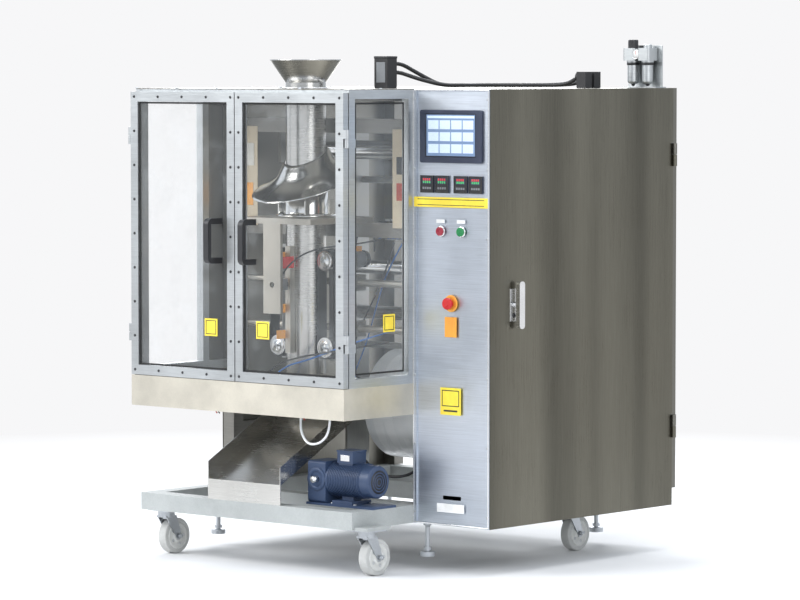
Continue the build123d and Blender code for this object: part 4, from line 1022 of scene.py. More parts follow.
class SEALER_OT_screen(bpy.types.Operator):
    """Add the lit screen face with plain tiles, and the controllers' windows and keys"""
    bl_idname = "sealer.screen"
    bl_label = "Screen and controllers"

    def execute(self, context):
        low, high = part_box("panel_instruments")
        middle = (low[0] + high[0]) / 2
        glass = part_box("control_panel")[0][1] - 0.0024
        half, base, top = 0.107, 1.410, 1.549

        def build(bm):
            add_block(bm, (middle - half, glass, base), (middle + half, glass + 0.001, top), 0.0003, 0)
            bezel = glass - 0.0006
            add_frame(bm, (middle - half - 0.004, bezel, base - 0.004),
                      (middle + half + 0.004, glass + 0.0006, top + 0.004),
                      0.004, 1, 0.0003, 2)
            columns, rows = 4, 3
            for column in range(columns):
                for row in range(rows):
                    x0 = middle - half + 0.008 + column * 0.0508
                    z0 = base + 0.010 + row * 0.040
                    add_block(bm, (x0, glass - 0.0006, z0),
                              (x0 + 0.046, glass + 0.0002, z0 + 0.030), 0.0003, 1)
            add_block(bm, (middle - half + 0.004, glass - 0.0006, top - 0.012),
                      (middle + half - 0.004, glass + 0.0002, top - 0.004), 0.0003, 1)

        shape("screen_face", build, "machine", "navy_plastic", "screen", "tile", "black")

        def build_controllers(bm):
            face = low[1] + 0.0030
            for x in (middle - 0.107, middle - 0.041, middle + 0.041, middle + 0.107):
                z = 1.3145
                add_frame(bm, (x - 0.0292, face - 0.0016, z - 0.0292),
                          (x + 0.0292, face + 0.0012, z + 0.0292), 0.005,
                          1, 0.0006, 0)
                add_block(bm, (x - 0.0245, face - 0.0004, z - 0.0245),
                          (x + 0.0245, face + 0.001, z + 0.0245), 0.0004, 0)
                add_block(bm, (x - 0.020, face - 0.0010, z + 0.001), (x + 0.020, face, z + 0.021), 0.0003, 1)
                for row, index in ((0.0125, 2), (0.0035, 3)):
                    for k in range(4):
                        segment = x - 0.0155 + k * 0.0088
                        add_frame(bm, (segment, face - 0.0014, z + row),
                                  (segment + 0.0042, face - 0.0008, z + row + 0.0065),
                                  0.0009, 1, 0, index)
                for k in range(4):
                    key = x - 0.0185 + k * 0.0100
                    add_block(bm, (key, face - 0.0013, z - 0.017), (key + 0.007, face, z - 0.010), 0.0006, 4)

        shape("controller_faces", build_controllers, "machine", "black_plastic", "black", "navy", "digits",
              "digits_green", "grey")
        return {"FINISHED"}


class SEALER_OT_guard_details(bpy.types.Operator):
    """Add the door seals, plain yellow plates and catches of the guard, and the seal and plate of its side pane
    """
    bl_idname = "sealer.guard_details"
    bl_label = "Guard details"

    def execute(self, context):
        seal = sizes().seal_width
        label = sizes().label_thickness
        for side, inward in (("left", 1), ("right", -1)):
            body = "guard_door_" + side
            pane_low, pane_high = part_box("guard_pane_" + side)
            door_low, door_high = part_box(body)
            shape("door_seal_" + side, lambda bm, lo=pane_low, hi=pane_high: add_frame(
                bm, (lo[0] + 0.001, lo[1] - 0.0025, lo[2] + 0.001),
                (hi[0] - 0.001, lo[1] + 0.0005, hi[2] - 0.001), seal, 1,
                0.0008), body, "rubber_black", "rubber")
            x = pane_low[0] + 0.055 if side == "right" else pane_high[0] - 0.115
            z = pane_low[2] + 0.115

            def build_plate(bm):
                add_block(bm, (x, pane_low[1] - label, z),
                          (x + 0.060, pane_low[1] + 0.0002, z + 0.060), FINE, 0)
                add_frame(bm, (x + 0.006, pane_low[1] - FRAME_RISE * label, z + 0.006),
                          (x + 0.054, pane_low[1], z + 0.054),
                          0.0025, 1, 0, 1)

            shape("door_plate_" + side, build_plate, body, "clear", "yellow", "black")
            closing = pane_high[0] + 0.020 if side == "left" else pane_low[0] - 0.020

            def build_catch(bm):
                add_block(bm, (closing - 0.010, door_high[1] - 0.001, door_high[2] - 0.065),
                          (closing + 0.010, door_high[1] + 0.012, door_high[2] - 0.035), 0.0015, 0)
                add_block(bm, (closing - 0.006, door_high[1] - 0.001, door_low[2] + 0.030),
                          (closing + 0.006, door_high[1] + 0.010, door_low[2] + 0.060), 0.0015, 1)

            shape("door_catch_" + side, build_catch, body, "zinc", "zinc", "red")
        panes_low, panes_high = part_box("guard_side_panes")

        def build_side(bm):
            face = panes_high[0]
            y0, y1 = panes_low[1] + 0.012, panes_high[1] - 0.012
            add_frame(bm, (face - 0.0002, y0, panes_low[2] + 0.012),
                      (face + 0.002, y1, panes_high[2] - 0.012), seal, 0,
                      0.0006, 1)
            z = panes_low[2] + 0.15
            add_block(bm, (face - 0.0002, y1 - 0.105, z), (face + label, y1 - 0.045, z + 0.060), FINE, 0)
            add_frame(bm, (face, y1 - 0.099, z + 0.006),
                      (face + FRAME_RISE * label, y1 - 0.051, z + 0.054), 0.0025, 0, 0, 1)

        shape("side_pane_seal", build_side, "machine", "clear", "yellow", "rubber")
        return {"FINISHED"}


def box_of(node):
    """A node's low corner, high corner and centre."""
    low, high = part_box(node)
    return low, high, [(a + b) / 2 for a, b in zip(low, high)]


def on_axis(axis):
    """The three numbers that turn a cylinder from Z onto an axis."""
    return {"x": (0, math.pi / 2, 0), "y": (math.pi / 2, 0, 0), "z": (0, 0, 0)}[axis]


def fins(name, start, step, count, radius, thickness, axis, material, body, slot):
    """A row of thin discs on a motor."""
    values = {"Count": count, "Start": start, "Pitch": step, "Radius": radius, "Thickness": thickness,
              "Turn": on_axis(axis), "Material": MATERIALS[material]}
    return grow(name, TREES["fins"], values, body, slot)


def row(name, start, step, count, block, material, body, slot, turn=(0, 0, 0)):
    """A straight row of equal blocks."""
    values = {"Count": count, "Start": start, "Pitch": step, "Block": block, "Turn": turn,
              "Material": MATERIALS[material]}
    return grow(name, TREES["row"], values, body, slot)


class SEALER_OT_pull_belts(bpy.types.Operator):
    """Add the belt teeth, the motors' fins, caps and leads, and the pulley faces"""
    bl_idname = "sealer.pull_belts"
    bl_label = "Film pull belts"

    def execute(self, context):
        pitch = sizes().tooth_pitch
        for side, outward in (("left", -1), ("right", 1)):
            belt_low, belt_high, belt_mid = box_of("film_belt_" + side)
            drive_low, drive_high, drive_mid = box_of("belt_drive_pulley_" + side)
            idler_mid = box_of("belt_idler_pulley_" + side)[2]
            carriage_high = box_of("belt_carriage_" + side)[1]
            body = "belt_carriage_" + side
            radius = (drive_high[0] - drive_low[0]) / 2 + 0.0052
            loop = []
            for angle in grid(0, math.pi, 17):
                loop.append((drive_mid[0] + radius * math.cos(angle), belt_mid[1],
                             drive_mid[2] + radius * math.sin(angle)))
            for angle in grid(math.pi, 2 * math.pi, 17):
                loop.append((idler_mid[0] + radius * math.cos(angle), belt_mid[1],
                             idler_mid[2] + radius * math.sin(angle)))
            mesh = bpy.data.meshes.new("belt_line")
            count = len(loop)
            mesh.from_pydata(loop, [(k, (k + 1) % count) for k in range(count)], [])
            values = {"Pitch": pitch, "Tooth": (belt_high[1] - belt_low[1] - 0.002, 0.0014, pitch * 0.5),
                      "Material": MATERIALS["rubber"]}
            grow("belt_ribs_" + side, TREES["belt"], values, body, "rubber_black", mesh)
            for part, mid in (("belt_drive_pulley_", drive_mid), ("belt_idler_pulley_", idler_mid)):
                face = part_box(part + side)[0][1]

                def build_face(bm, mid=mid, face=face):
                    centre = (mid[0], face, mid[2])
                    add_lathe(bm, centre, FRONT,
                              [(0, -0.001), (0.030, -0.001), (0.030, 0.0012), (0.026, 0.0016),
                                                  (0.013, 0.0005), (0.012, 0.004), (0, 0.004)], 40, 0)
                    add_lathe(bm, (mid[0], face - 0.004, mid[2]), FRONT,
                              [(0, -0.001), (0.007, -0.001), (0.007, 0.0035),
                                                                          (0, 0.0035)], 6, 1)

                shape(part + "face_" + side, build_face, "belt_" + ("drive" if "drive" in part else "idler") +
                      "_pulley_" + side, "bright_steel", "bright", "zinc")
            motor_y, motor_end = carriage_high[1] - 0.080, carriage_high[1]
            fins("belt_motor_fins_" + side, (drive_mid[0], motor_y + 0.010, drive_mid[2]), (0, 0.0052, 0),
                 9, 0.0305, 0.0022,
                 "y", "grey", body, "stainless")

            def build_motor(bm):
                centre = (drive_mid[0], motor_end - 0.020, drive_mid[2])
                add_lathe(bm, centre, (0, 1, 0),
                          [(0, 0), (0.0300, 0), (0.0300, 0.0165), (0.027, 0.0195), (0, 0.0195)], 36, 0)
                add_block(bm, (drive_mid[0] - 0.012, motor_y + 0.014, drive_mid[2] + 0.027),
                          (drive_mid[0] + 0.012, motor_y + 0.050, drive_mid[2] + 0.046), 0.002, 1)

            shape("belt_motor_cap_" + side, build_motor, body, "black_plastic", "black", "orange")
            start = Vector((drive_mid[0], motor_y + 0.030, drive_mid[2] + 0.046))
            route = [start, start + Vector((0, 0.005, 0.04)), start + Vector((outward * 0.03, 0.02, 0.09)),
                     start + Vector((outward * 0.06, 0.035, 0.055)),
                     start + Vector((outward * 0.055, 0.036, -0.02))]
            shape("belt_motor_lead_" + side,
                  lambda bm, r=route: add_tube(bm, smooth_path(r), 0.0032, 8), body,
                  "cable_black", "cable")
        return {"FINISHED"}


class SEALER_OT_sealing_details(bpy.types.Operator):
    """Add the jaws' ribs, heater leads, coloured plates, cylinder ends and fittings"""
    bl_idname = "sealer.sealing_details"
    bl_label = "Sealing details"

    def execute(self, context):
        for node, facing in (("front_jaw", 1), ("rear_jaw", -1)):
            low, high, mid = box_of(node)
            outer = low[1] if facing > 0 else high[1]

            def build_jaw(bm, low=low, high=high, outer=outer, facing=facing):
                for x in (low[0] + 0.030, high[0] - 0.060):
                    a, b = sorted((outer - facing * 0.004, outer + facing * 0.002))
                    add_block(bm, (x, a, low[2] + 0.008), (x + 0.030, b, low[2] + 0.026), 0.001, 0)
                for x in (low[0] + 0.075, high[0] - 0.083):
                    add_block(bm, (x, mid[1] - 0.010, high[2] - 0.0005),
                              (x + 0.008, mid[1] + 0.010, high[2] + 0.0025), 0.0008, 1)

            shape(node + "_fittings", build_jaw, node, "bright_steel", "orange", "red")
            for k, (x, colour) in enumerate(((low[0] + 0.038, "copper_red"), (high[0] - 0.052, "white"),
                                             (low[0] + 0.050, "cable"), (high[0] - 0.040, "copper_red"))):
                y = outer - facing * 0.003
                route = [Vector((x, y, low[2] + 0.016)), Vector((x, y - facing * 0.020, low[2] + 0.010)),
                         Vector((x + 0.006, y - facing * 0.026, low[2] - 0.028)),
                         Vector((x + 0.012, y - facing * 0.012, low[2] - 0.050))]
                shape("%s_lead_%d" % (node, k + 1),
                      lambda bm, r=route: add_tube(bm, smooth_path(r), 0.0022, 8), node,
                      "cable_black", colour)
        bar_low, bar_high, bar_mid = box_of("vertical_seal_bar")

        def build_bar(bm):
            for z in grid(bar_low[2] + 0.05, bar_high[2] - 0.05, 4):
                add_block(bm, (bar_low[0] - 0.001, bar_low[1] + 0.004, z),
                          (bar_low[0] + 0.0005, bar_high[1] - 0.004, z + 0.030),
                          0.0006, 0)
            add_block(bm, (bar_high[0] - 0.0005, bar_low[1] + 0.004, bar_high[2] - 0.075),
                      (bar_high[0] + 0.001, bar_high[1] - 0.004, bar_high[2] - 0.035), 0.0006, 1)

        shape("seal_bar_plates", build_bar, "vertical_seal_bar", "bright_steel", "orange", "red")
        frame_mid = box_of("jaw_frame")[2]
        jaw_z = frame_mid[2]

        def build_ends(bm):
            for y0, y1, r in ((-0.560, -0.470, 0.025), (-0.155, -0.035, 0.025)):
                x = frame_mid[0]
                for y in (y0, y1 - 0.010):
                    add_ring(bm, (x, y, jaw_z), (0, 1, 0), r - 0.001, r + 0.0025, 0, 0.010, 40, 0)
                for dx in (-1, 1):
                    for dz in (-1, 1):
                        add_tube(bm, [(x + dx * 0.0185, y0 + 0.006, jaw_z + dz * 0.0185),
                                      (x + dx * 0.0185, y1 - 0.004, jaw_z + dz * 0.0185)], 0.0022, 8, 1)
                for y in (y0 + 0.018, y1 - 0.018):
                    add_lathe(bm, (x, y, jaw_z + r - 0.001), UP,
                              [(0, 0), (0.006, 0), (0.006, 0.006), (0.0045, 0.007),
                                                                 (0.0045, 0.014), (0, 0.014)], 6, 2)
            for y in (-0.466, -0.424):
                add_ring(bm, (bar_mid[0], y, 0.960), (0, 1, 0), 0.019, 0.0215, 0, 0.004, 36, 0)

        shape("cylinder_ends", build_ends, "machine", "alu", "black", "bright", "blue_fitting")
        leads = (((-0.1675, -0.542, 0.630), (-0.100, -0.545, 0.690), (-0.02, -0.50, 0.720),
                  (0.06, -0.36, 0.740), (0.13, -0.21, 0.760)),
                 ((-0.1675, -0.488, 0.630), (-0.120, -0.480, 0.680), (-0.03, -0.44, 0.705),
                  (0.06, -0.33, 0.760), (0.14, -0.20, 0.800)),
                 ((-0.1675, -0.137, 0.630), (-0.130, -0.120, 0.700), (-0.06, -0.13, 0.820),
                  (0.06, -0.15, 0.980), (0.11, -0.156, 1.105)),
                 ((-0.1675, -0.053, 0.630), (-0.110, -0.060, 0.720), (-0.02, -0.10, 0.880),
                  (0.06, -0.14, 1.000), (0.15, -0.156, 1.105)),
                 ((-0.1675, -0.440, 0.980), (-0.120, -0.442, 1.040), (-0.03, -0.40, 1.090),
                  (0.07, -0.27, 1.100), (0.13, -0.158, 1.130)))
        for k, route in enumerate(leads):
            shape("air_line_%d" % (k + 1),
                  lambda bm, r=route: add_tube(bm, smooth_path(r), 0.0030, 8), "machine",
                  "navy_plastic", "air_blue" if k % 2 else "cable")
        return {"FINISHED"}


class SEALER_OT_guard_interior(bpy.types.Operator):
    """Add the beige plates, ducts, sensors and valve details seen through the guard"""
    bl_idname = "sealer.guard_interior"
    bl_label = "Guard interior"

    def execute(self, context):
        def build_duct(bm):
            add_block(bm, (0.282, -0.2350, 0.66), (0.318, -0.2045, 1.14), 0.001, 0)
            add_block(bm, (0.281, -0.2365, 0.655), (0.319, -0.2345, 1.145), 0.0006, 1)

        shape("wire_duct", build_duct, "machine", "black_plastic", "black", "grey")
        row("wire_duct_slots", (0.282, -0.220, 0.68), (0, 0, 0.012), 38, (0.0016, 0.024, 0.005),
            "grey", "machine",
            "black_plastic")

        def build_plates(bm):
            add_block(bm, (-0.600, -0.2065, 1.150), (-0.490, -0.2048, 1.500), 0.0006, 0)
            add_block(bm, (-0.585, -0.2090, 1.36), (-0.505, -0.2064, 1.44), 0.0006, 1)
            add_block(bm, (-0.580, -0.2090, 1.22), (-0.510, -0.2064, 1.30), 0.0006, 2)
            add_block(bm, (0.145, -0.2065, 1.155), (0.262, -0.2048, 1.495), 0.0006, 0)
            add_block(bm, (0.165, -0.2090, 1.25), (0.245, -0.2064, 1.31), 0.0006, 3)
            add_block(bm, (0.165, -0.2090, 1.34), (0.245, -0.2064, 1.40), 0.0006, 4)

        shape("inner_plates", build_plates, "machine", "stainless", "beige", "cream", "orange",
              "copper_red", "black")

        def build_sensor(bm):
            add_block(bm, (-0.430, -0.240, 0.945), (-0.400, -0.190, 0.985), 0.003, 0)
            add_lathe(bm, (-0.415, -0.240, 0.965), FRONT,
                      [(0, -0.001), (0.009, -0.001), (0.009, 0.004), (0.006, 0.005),
                                                          (0, 0.005)], 24, 1)

        shape("film_sensor", build_sensor, "machine", "black_plastic", "orange", "black")
        row("valve_coils", (0.050, -0.156, 1.145), (0.020, 0, 0), 10, (0.0165, 0.006, 0.062),
            "black", "machine", "alu")
        row("valve_lamps", (0.050, -0.160, 1.168), (0.020, 0, 0), 10, (0.006, 0.003, 0.004),
            "orange", "machine", "alu")
        row("valve_ports", (0.050, -0.161, 1.120), (0.020, 0, 0), 10, (0.010, 0.008, 0.010),
            "blue_fitting", "machine",
            "alu")
        return {"FINISHED"}


class SEALER_OT_film_reel(bpy.types.Operator):
    """Add the cardboard core, the wound ends and the printed eye marks of the film reel"""
    bl_idname = "sealer.film_reel"
    bl_label = "Film reel"

    def execute(self, context):
        low, high, mid = box_of("film_roll")
        r = (high[2] - low[2]) / 2
        for name, x, facing in (("left", low[0], -1), ("right", high[0], 1)):

            def build(bm):
                centre = (x, mid[1], mid[2])
                add_ring(bm, centre, (facing, 0, 0), 0.053, 0.060, -0.004, 0.0016, 48, 0)
                add_ring(bm, centre, (facing, 0, 0), r - 0.010, r - 0.0085, -0.002, 0.0006, 64, 1)
                add_ring(bm, centre, (facing, 0, 0), r * 0.66, r * 0.665, -0.002, 0.0006, 64, 1)

            shape("reel_core_" + name, build, "film_unwind", "film", "cardboard", "white")
        marks = []
        for k in range(9):
            a = 2 * math.pi * k / 9
            marks.append(((high[0] - 0.030, mid[1] + r * math.cos(a), mid[2] + r * math.sin(a)),
                          (0, math.cos(a), math.sin(a))))
        copies("film_eye_marks", FORMS["mark"], 1.0, marks, "navy", "film_unwind", "film")
        return {"FINISHED"}


class SEALER_OT_cabinet_details(bpy.types.Operator):
    """Add the rear vents, the door's lock plate and the door seal"""
    bl_idname = "sealer.cabinet_details"
    bl_label = "Cabinet details"

    def execute(self, context):
        shell_mid = box_of("cabinet_shell")[2]
        door_high = box_of("cabinet_door")[1]
        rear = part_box("cover_panels")[1][1]
        count = sizes().louvre_count
        for name, z in (("upper", 1.32), ("lower", 0.38)):
            row("cabinet_louvres_" + name, (shell_mid[0], rear + 0.001, z), (0, 0, 0.014), count,
                (0.170, 0.0022, 0.010), "shell", "machine", "stainless", (math.radians(28), 0, 0))

        def build_vents(bm):
            for z in (1.32, 0.38):
                tall = 0.014 * (count - 1)
                add_block(bm, (shell_mid[0] - 0.092, rear - 0.0005, z - 0.012),
                          (shell_mid[0] + 0.092, rear + 0.0004, z + tall + 0.012),
                          0.0002, 1)
                add_frame(bm, (shell_mid[0] - 0.100, rear - 0.0005, z - 0.020),
                          (shell_mid[0] + 0.100, rear + 0.0015, z + tall + 0.020),
                          0.008, 1, 0.0006, 0)

        shape("cabinet_vent_frames", build_vents, "machine", "stainless", "trim", "black")
        handle_low, _, handle_mid = box_of("cabinet_door_handle")

        def build_lock(bm):
            face = door_high[0] - 0.0005 if door_high[0] < handle_low[0] else 0.6645
            add_block(bm, (face, handle_mid[1] - 0.020, 0.855),
                      (face + 0.0022, handle_mid[1] + 0.020, 0.965), 0.0008, 0)
            add_lathe(bm, (face, handle_mid[1], 0.875), (1, 0, 0),
                      [(0, 0), (0.008, 0), (0.008, 0.004), (0.007, 0.005),
                                                                 (0, 0.005)], 24, 1)

        shape("door_lock_plate", build_lock, "cabinet_door", "bright_steel", "trim", "black")

        def build_seal(bm):
            inner = 0.6632
            for y0, y1, z0, z1 in ((-0.300, 0.695, 0.225, 0.231), (-0.300, 0.695, 1.619, 1.625),
                                   (-0.302, -0.296, 0.225, 1.625)):
                add_block(bm, (inner - 0.002, y0, z0), (inner + 0.0004, y1, z1), 0.0004, 0)

        shape("cabinet_door_seal", build_seal, "cabinet_door", "rubber_black", "rubber")
        return {"FINISHED"}


class SEALER_OT_electrical_details(bpy.types.Operator):
    """Add the fronts, terminals, duct slots and leads of the electrical rack"""
    bl_idname = "sealer.electrical_details"
    bl_label = "Electrical details"

    def execute(self, context):
        for z in (1.06, 0.78, 0.40):
            row("duct_slots_%03d" % (z * 100), (0.376, -0.155, z), (0, 0.012, 0), 67,
                (0.046, 0.005, 0.062), "black",
                "machine", "electrics")

        def build_fronts(bm):
            for k in range(4):
                y = -0.125 + 0.170 * k
                add_block(bm, (0.5335, y - 0.048, 1.200), (0.5350, y + 0.048, 1.462), 0.001, 0)
                add_block(bm, (0.5345, y - 0.036, 1.370), (0.5362, y + 0.036, 1.440), 0.001, 1)
                add_block(bm, (0.5357, y - 0.028, 1.405), (0.5366, y + 0.028, 1.432), 0.0004, 2)
                for j in range(3):
                    add_block(bm, (0.5357, y - 0.026 + 0.019 * j, 1.378),
                              (0.5372, y - 0.012 + 0.019 * j, 1.390), 0.001, 3)
            for k in range(9):
                y = -0.135 + 0.078 * k
                add_block(bm, (0.4185, y - 0.015, 0.925), (0.4205, y + 0.015, 0.975), 0.0008, 3)
                add_block(bm, (0.4200, y - 0.006, 0.942), (0.4225, y + 0.006, 0.958), 0.0008, 4)
            for k in range(5):
                y = -0.125 + 0.140 * k
                add_block(bm, (0.4735, y - 0.044, 0.560), (0.4750, y + 0.044, 0.680), 0.0008, 0)
                for j in range(6):
                    add_block(bm, (0.4745, y - 0.040 + 0.014 * j, 0.548),
                              (0.4765, y - 0.030 + 0.014 * j, 0.560), 0.0005, 5)

        shape("rack_fronts", build_fronts, "machine", "electrics", "cream", "black", "digits_green",
              "grey", "copper_red",
              "zinc")
        drawn = random.Random(4)
        groups = {"copper_red": [], "cable": [], "blue_wire": []}
        for k in range(4):
            y = -0.125 + 0.170 * k
            for j, key in enumerate(("copper_red", "cable", "blue_wire")):
                at = y - 0.020 + 0.020 * j
                groups[key].append([(0.45, at, 1.182), (0.455 + drawn.uniform(0, 0.02), at, 1.150),
                                    (0.42, at + drawn.uniform(-0.01, 0.01), 1.120), (0.385, at, 1.085)])
        for k in range(9):
            y = -0.135 + 0.078 * k
            for key, shift in (("cable", -0.008), ("copper_red", 0.008)):
                groups[key].append([(0.40, y + shift, 0.902),
                                    (0.412, y + shift + drawn.uniform(-0.006, 0.006), 0.870),
                                    (0.395, y + shift, 0.835), (0.380, y + shift, 0.800)])
        for key, runs in groups.items():

            def build_leads(bm, runs=runs):
                for run in runs:
                    add_tube(bm, smooth_path(run, 4), 0.0020, 6)

            shape("rack_leads_" + key, build_leads, "machine", "cable_black", key)
        return {"FINISHED"}


class SEALER_OT_roof_details(bpy.types.Operator):
    """Add the cable box lid and glands, the funnel's rim and the air unit's gauge and bowls"""
    bl_idname = "sealer.roof_details"
    bl_label = "Roof details"

    def execute(self, context):
        tube_low, tube_high, tube_mid = box_of("forming_tube")
        rim = (tube_high[0] - tube_low[0]) / 2

        def build_rim(bm):
            turned = [(rim - 0.003, -0.004), (rim - 0.0005, -0.004), (rim - 0.0002, -0.001),
                      (rim - 0.0012, 0.0),
                      (rim - 0.003, -0.001), (rim - 0.003, -0.004)]
            add_lathe(bm, (tube_mid[0], TUBE_Y, tube_high[2]), UP, turned, 64, 0)
            add_ring(bm, (tube_mid[0], TUBE_Y, 1.6349), UP, 0.0785, 0.100, 0, 0.003, 64, 0)

        shape("funnel_rim", build_rim, "machine", "stainless", "trim")
        copies("funnel_ring_bolts", FORMS["screw"], 0.005,
               [((tube_mid[0] + RING_BOLTS * math.cos(a), TUBE_Y + RING_BOLTS * math.sin(a), 1.6379), UP)
                for a in grid(0, 2 * math.pi * 5 / 6, 6)], "zinc", "machine", "zinc")

        def build_box(bm):
            add_block(bm, (0.0285, -0.1715, 1.738), (0.0915, -0.1185, 1.7462), 0.0015, 0)
            add_block(bm, (0.040, -0.1712, 1.655), (0.080, -0.1695, 1.725), 0.0008, 1)
            for y in (0.440, 0.490):
                add_ring(bm, (0.452, y, 1.676), (-1, 0, 0), 0.0075, 0.0125, 0.0, 0.012, 6, 0)
                add_ring(bm, (0.462, y, 1.676), (-1, 0, 0), 0.0075, 0.0140, 0.0, 0.006, 6, 0)

        shape("cable_box_lid", build_box, "machine", "cable_black", "black", "grey")

        def build_air(bm):
            for x in AIR_XS:
                add_ring(bm, (x, AIR_Y, 1.7155), UP, 0.0195, 0.0225, 0, 0.010, 40, 0)
                add_lathe(bm, (x, AIR_Y, 1.6495), (0, 0, -1),
                          [(0, -0.002), (0.007, -0.002), (0.007, 0.004), (0.004, 0.008),
                                                             (0, 0.008)], 20, 0)
            centre = (0.555, 0.6335, 1.753)
            add_lathe(bm, centre, FRONT,
                      [(0, -0.004), (0.016, -0.004), (0.017, 0.000), (0.017, 0.006), (0.0155, 0.007),
                                          (0.0150, 0.0055), (0, 0.0055)], 36, 1)
            add_lathe(bm, centre, FRONT, [(0, 0.005), (0.0148, 0.005), (0.0148, 0.0059), (0, 0.0059)], 36, 2)
            add_block(bm, (0.5545, 0.6265, 1.753), (0.5555, 0.6275, 1.7645), 0, 3)

        shape("air_unit_gauge", build_air, "machine", "alu", "black", "trim", "white", "red")
        return {"FINISHED"}


class SEALER_OT_running_gear(bpy.types.Operator):
    """Add the hubs, axle nuts, bearing seals and plate bolts of the casters, and the feet's nuts"""
    bl_idname = "sealer.running_gear"
    bl_label = "Running gear"

    def execute(self, context):
        for corner in ("front_left", "front_right", "rear_left", "rear_right"):
            low, high, mid = box_of("wheel_" + corner)

            def build_hub(bm):
                for side, x in ((-1, low[0]), (1, high[0])):
                    add_lathe(bm, (x, mid[1], mid[2]), (side, 0, 0),
                              [(0.009, -0.003), (0.046, -0.003), (0.046, 0.0010),
                               (0.042, 0.0016), (0.036, -0.0005), (0.022, -0.0005),
                               (0.019, 0.0030), (0.009, 0.0030), (0.009, -0.003)], 48)
                    for k in range(5):
                        a = 2 * math.pi * k / 5
                        spot = (x, mid[1] + 0.029 * math.cos(a), mid[2] + 0.029 * math.sin(a))
                        add_ring(bm, spot, (side, 0, 0), 0.003, 0.0048, -0.002, 0.0008, 16, 1)

            shape("wheel_hub_" + corner, build_hub, "wheel_" + corner, "wheel_rubber", "hub", "zinc")
            body = "caster_fork_" + corner if "front" in corner else "machine"
            axle = "caster_fork_" + corner if "front" in corner else None
            reach = (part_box(axle)[0][0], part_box(axle)[1][0]) if axle else (low[0] - 0.0072, high[0] + 0.0072)
            copies("axle_nuts_" + corner, FORMS["nut"], 0.009,
                   [((reach[0] + 0.0005, mid[1], mid[2]), (-1, 0, 0)),
                    ((reach[1] - 0.0005, mid[1], mid[2]), (1, 0, 0))],
                   "zinc", body, "zinc")
        feet = [(x, y) for x in (-0.630, 0.355) for y in (-0.265, 0.665)]
        copies("foot_nuts", FORMS["nut"], 0.015, [((x, y, 0.1600), (0, 0, -1)) for x, y in feet], "zinc",
               "machine", "zinc")
        return {"FINISHED"}


class SEALER_OT_drive_motor_details(bpy.types.Operator):
    """Add the drive motor's fins, cowl slots, terminal lid, lead and mounting bolts"""
    bl_idname = "sealer.drive_motor_details"
    bl_label = "Drive motor details"

    def execute(self, context):
        y, z, start = DRIVE_MOTOR
        fins("drive_motor_fins", (start + 0.094, y, z), (0.0075, 0, 0), 19, 0.0605, 0.0026, "x",
             "blue", "machine",
             "motor_paint")

        def build(bm):
            add_block(bm, (start + 0.117, y - 0.036, 0.4045), (start + 0.193, y + 0.036, 0.4105), 0.0015, 0)
            add_lathe(bm, (start + 0.278, y, z), (1, 0, 0),
                      [(0, -0.002), (0.040, -0.002), (0.040, 0.0008), (0, 0.0008)], 40, 1)
            for r in (0.010, 0.020, 0.030):
                add_ring(bm, (start + 0.278, y, z), (1, 0, 0), r, r + 0.004, 0, 0.0022, 40, 0)
            add_ring(bm, (start + 0.044, y - 0.0545, z), FRONT, 0.026, 0.040, -0.001, 0.004, 40, 0)
            add_lathe(bm, (start + 0.044, y - 0.0545, z), FRONT,
                      [(0, -0.001), (0.011, -0.001), (0.011, 0.022), (0, 0.022)], 24, 2)
            add_block(bm, (start + 0.135, y - 0.0349, 0.374), (start + 0.175, y - 0.0336, 0.394), 0.0005, 2)

        shape("drive_motor_caps", build, "machine", "motor_paint", "blue", "black", "trim")
        lead = [(start + 0.155, y + 0.034, 0.385), (start + 0.155, y + 0.070, 0.375),
                (start + 0.150, y + 0.110, 0.330),
                (start + 0.200, y + 0.180, 0.300), (start + 0.260, y + 0.240, 0.330),
                (start + 0.270, y + 0.260, 0.420)]
        shape("drive_motor_lead", lambda bm: add_tube(bm, smooth_path(lead), 0.005, 10), "machine",
              "cable_black", "cable")
        copies("drive_motor_bolts", FORMS["screw"], 0.007, [
            ((start + dx, y + dy, 0.228), UP) for dx in (0.104, 0.206) for dy in (-0.040, 0.040)], "zinc",
            "machine", "zinc")
        return {"FINISHED"}


def mark_form(bm):
    """Small flat eye mark."""
    add_block(bm, (-0.012, -0.004, -0.0004), (0.012, 0.004, 0.0004), 0.0001)


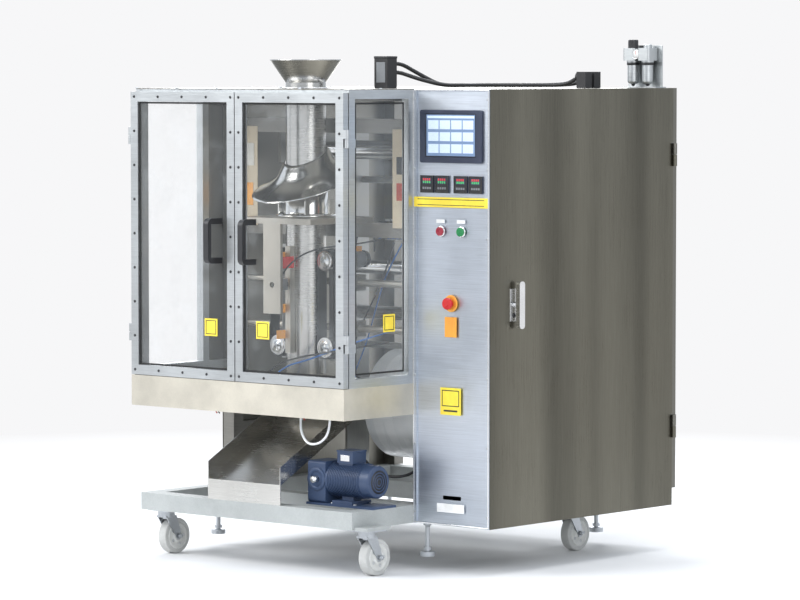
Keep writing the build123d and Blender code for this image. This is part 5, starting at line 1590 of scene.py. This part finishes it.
# --- Panel and registration -------------------------------------------------------------------

class SEALER_PT_panel(bpy.types.Panel):
    bl_label = "Form fill sealer"
    bl_idname = "SEALER_PT_panel"
    bl_space_type = "VIEW_3D"
    bl_region_type = "UI"
    bl_category = "Sealer"

    def draw(self, context):
        scene = context.scene
        for group in (scene.sealer_finish, scene.sealer_sizes, scene.sealer_stage):
            box = self.layout.box()
            for key in group.__annotations__:
                box.prop(group, key)
        column = self.layout.column(align=True)
        for operator in STEPS:
            column.operator(operator.bl_idname)


STEPS = (SEALER_OT_stage, SEALER_OT_carried_finishes, SEALER_OT_air_hose, SEALER_OT_forming_shoulder,
         SEALER_OT_screws, SEALER_OT_control_face, SEALER_OT_screen, SEALER_OT_guard_details,
         SEALER_OT_pull_belts,
         SEALER_OT_sealing_details, SEALER_OT_guard_interior, SEALER_OT_film_reel, SEALER_OT_cabinet_details,
         SEALER_OT_electrical_details, SEALER_OT_roof_details, SEALER_OT_running_gear,
         SEALER_OT_drive_motor_details)
CLASSES = (SealerFinish, SealerSizes, SealerStage, *STEPS, SEALER_PT_panel)
GROUPS = {"sealer_finish": SealerFinish, "sealer_sizes": SealerSizes, "sealer_stage": SealerStage}


def register():
    for cls in CLASSES:
        bpy.utils.register_class(cls)
    for name, group in GROUPS.items():
        setattr(bpy.types.Scene, name, PointerProperty(type=group))


def unregister():
    for name in GROUPS:
        delattr(bpy.types.Scene, name)
    for cls in reversed(CLASSES):
        bpy.utils.unregister_class(cls)


def corners(box):
    """The two corners of a box as plain lists."""
    return [list(corner) for corner in box]


def main():
    register()
    MATERIALS.update(build_materials())
    TREES.update(scatter=scatter_tree(), row=row_tree(), fins=ring_tree(), belt=belt_tree())
    make_form("screw", screw_form)
    make_form("nut", nut_form)
    make_form("mark", mark_form)
    for operator in STEPS:
        group, name = operator.bl_idname.split(".")
        getattr(getattr(bpy.ops, group), name)()
    for form in FORMS.values():
        bpy.data.objects.remove(form)
    bpy.context.view_layer.update()


if __name__ == "__main__":
    main()
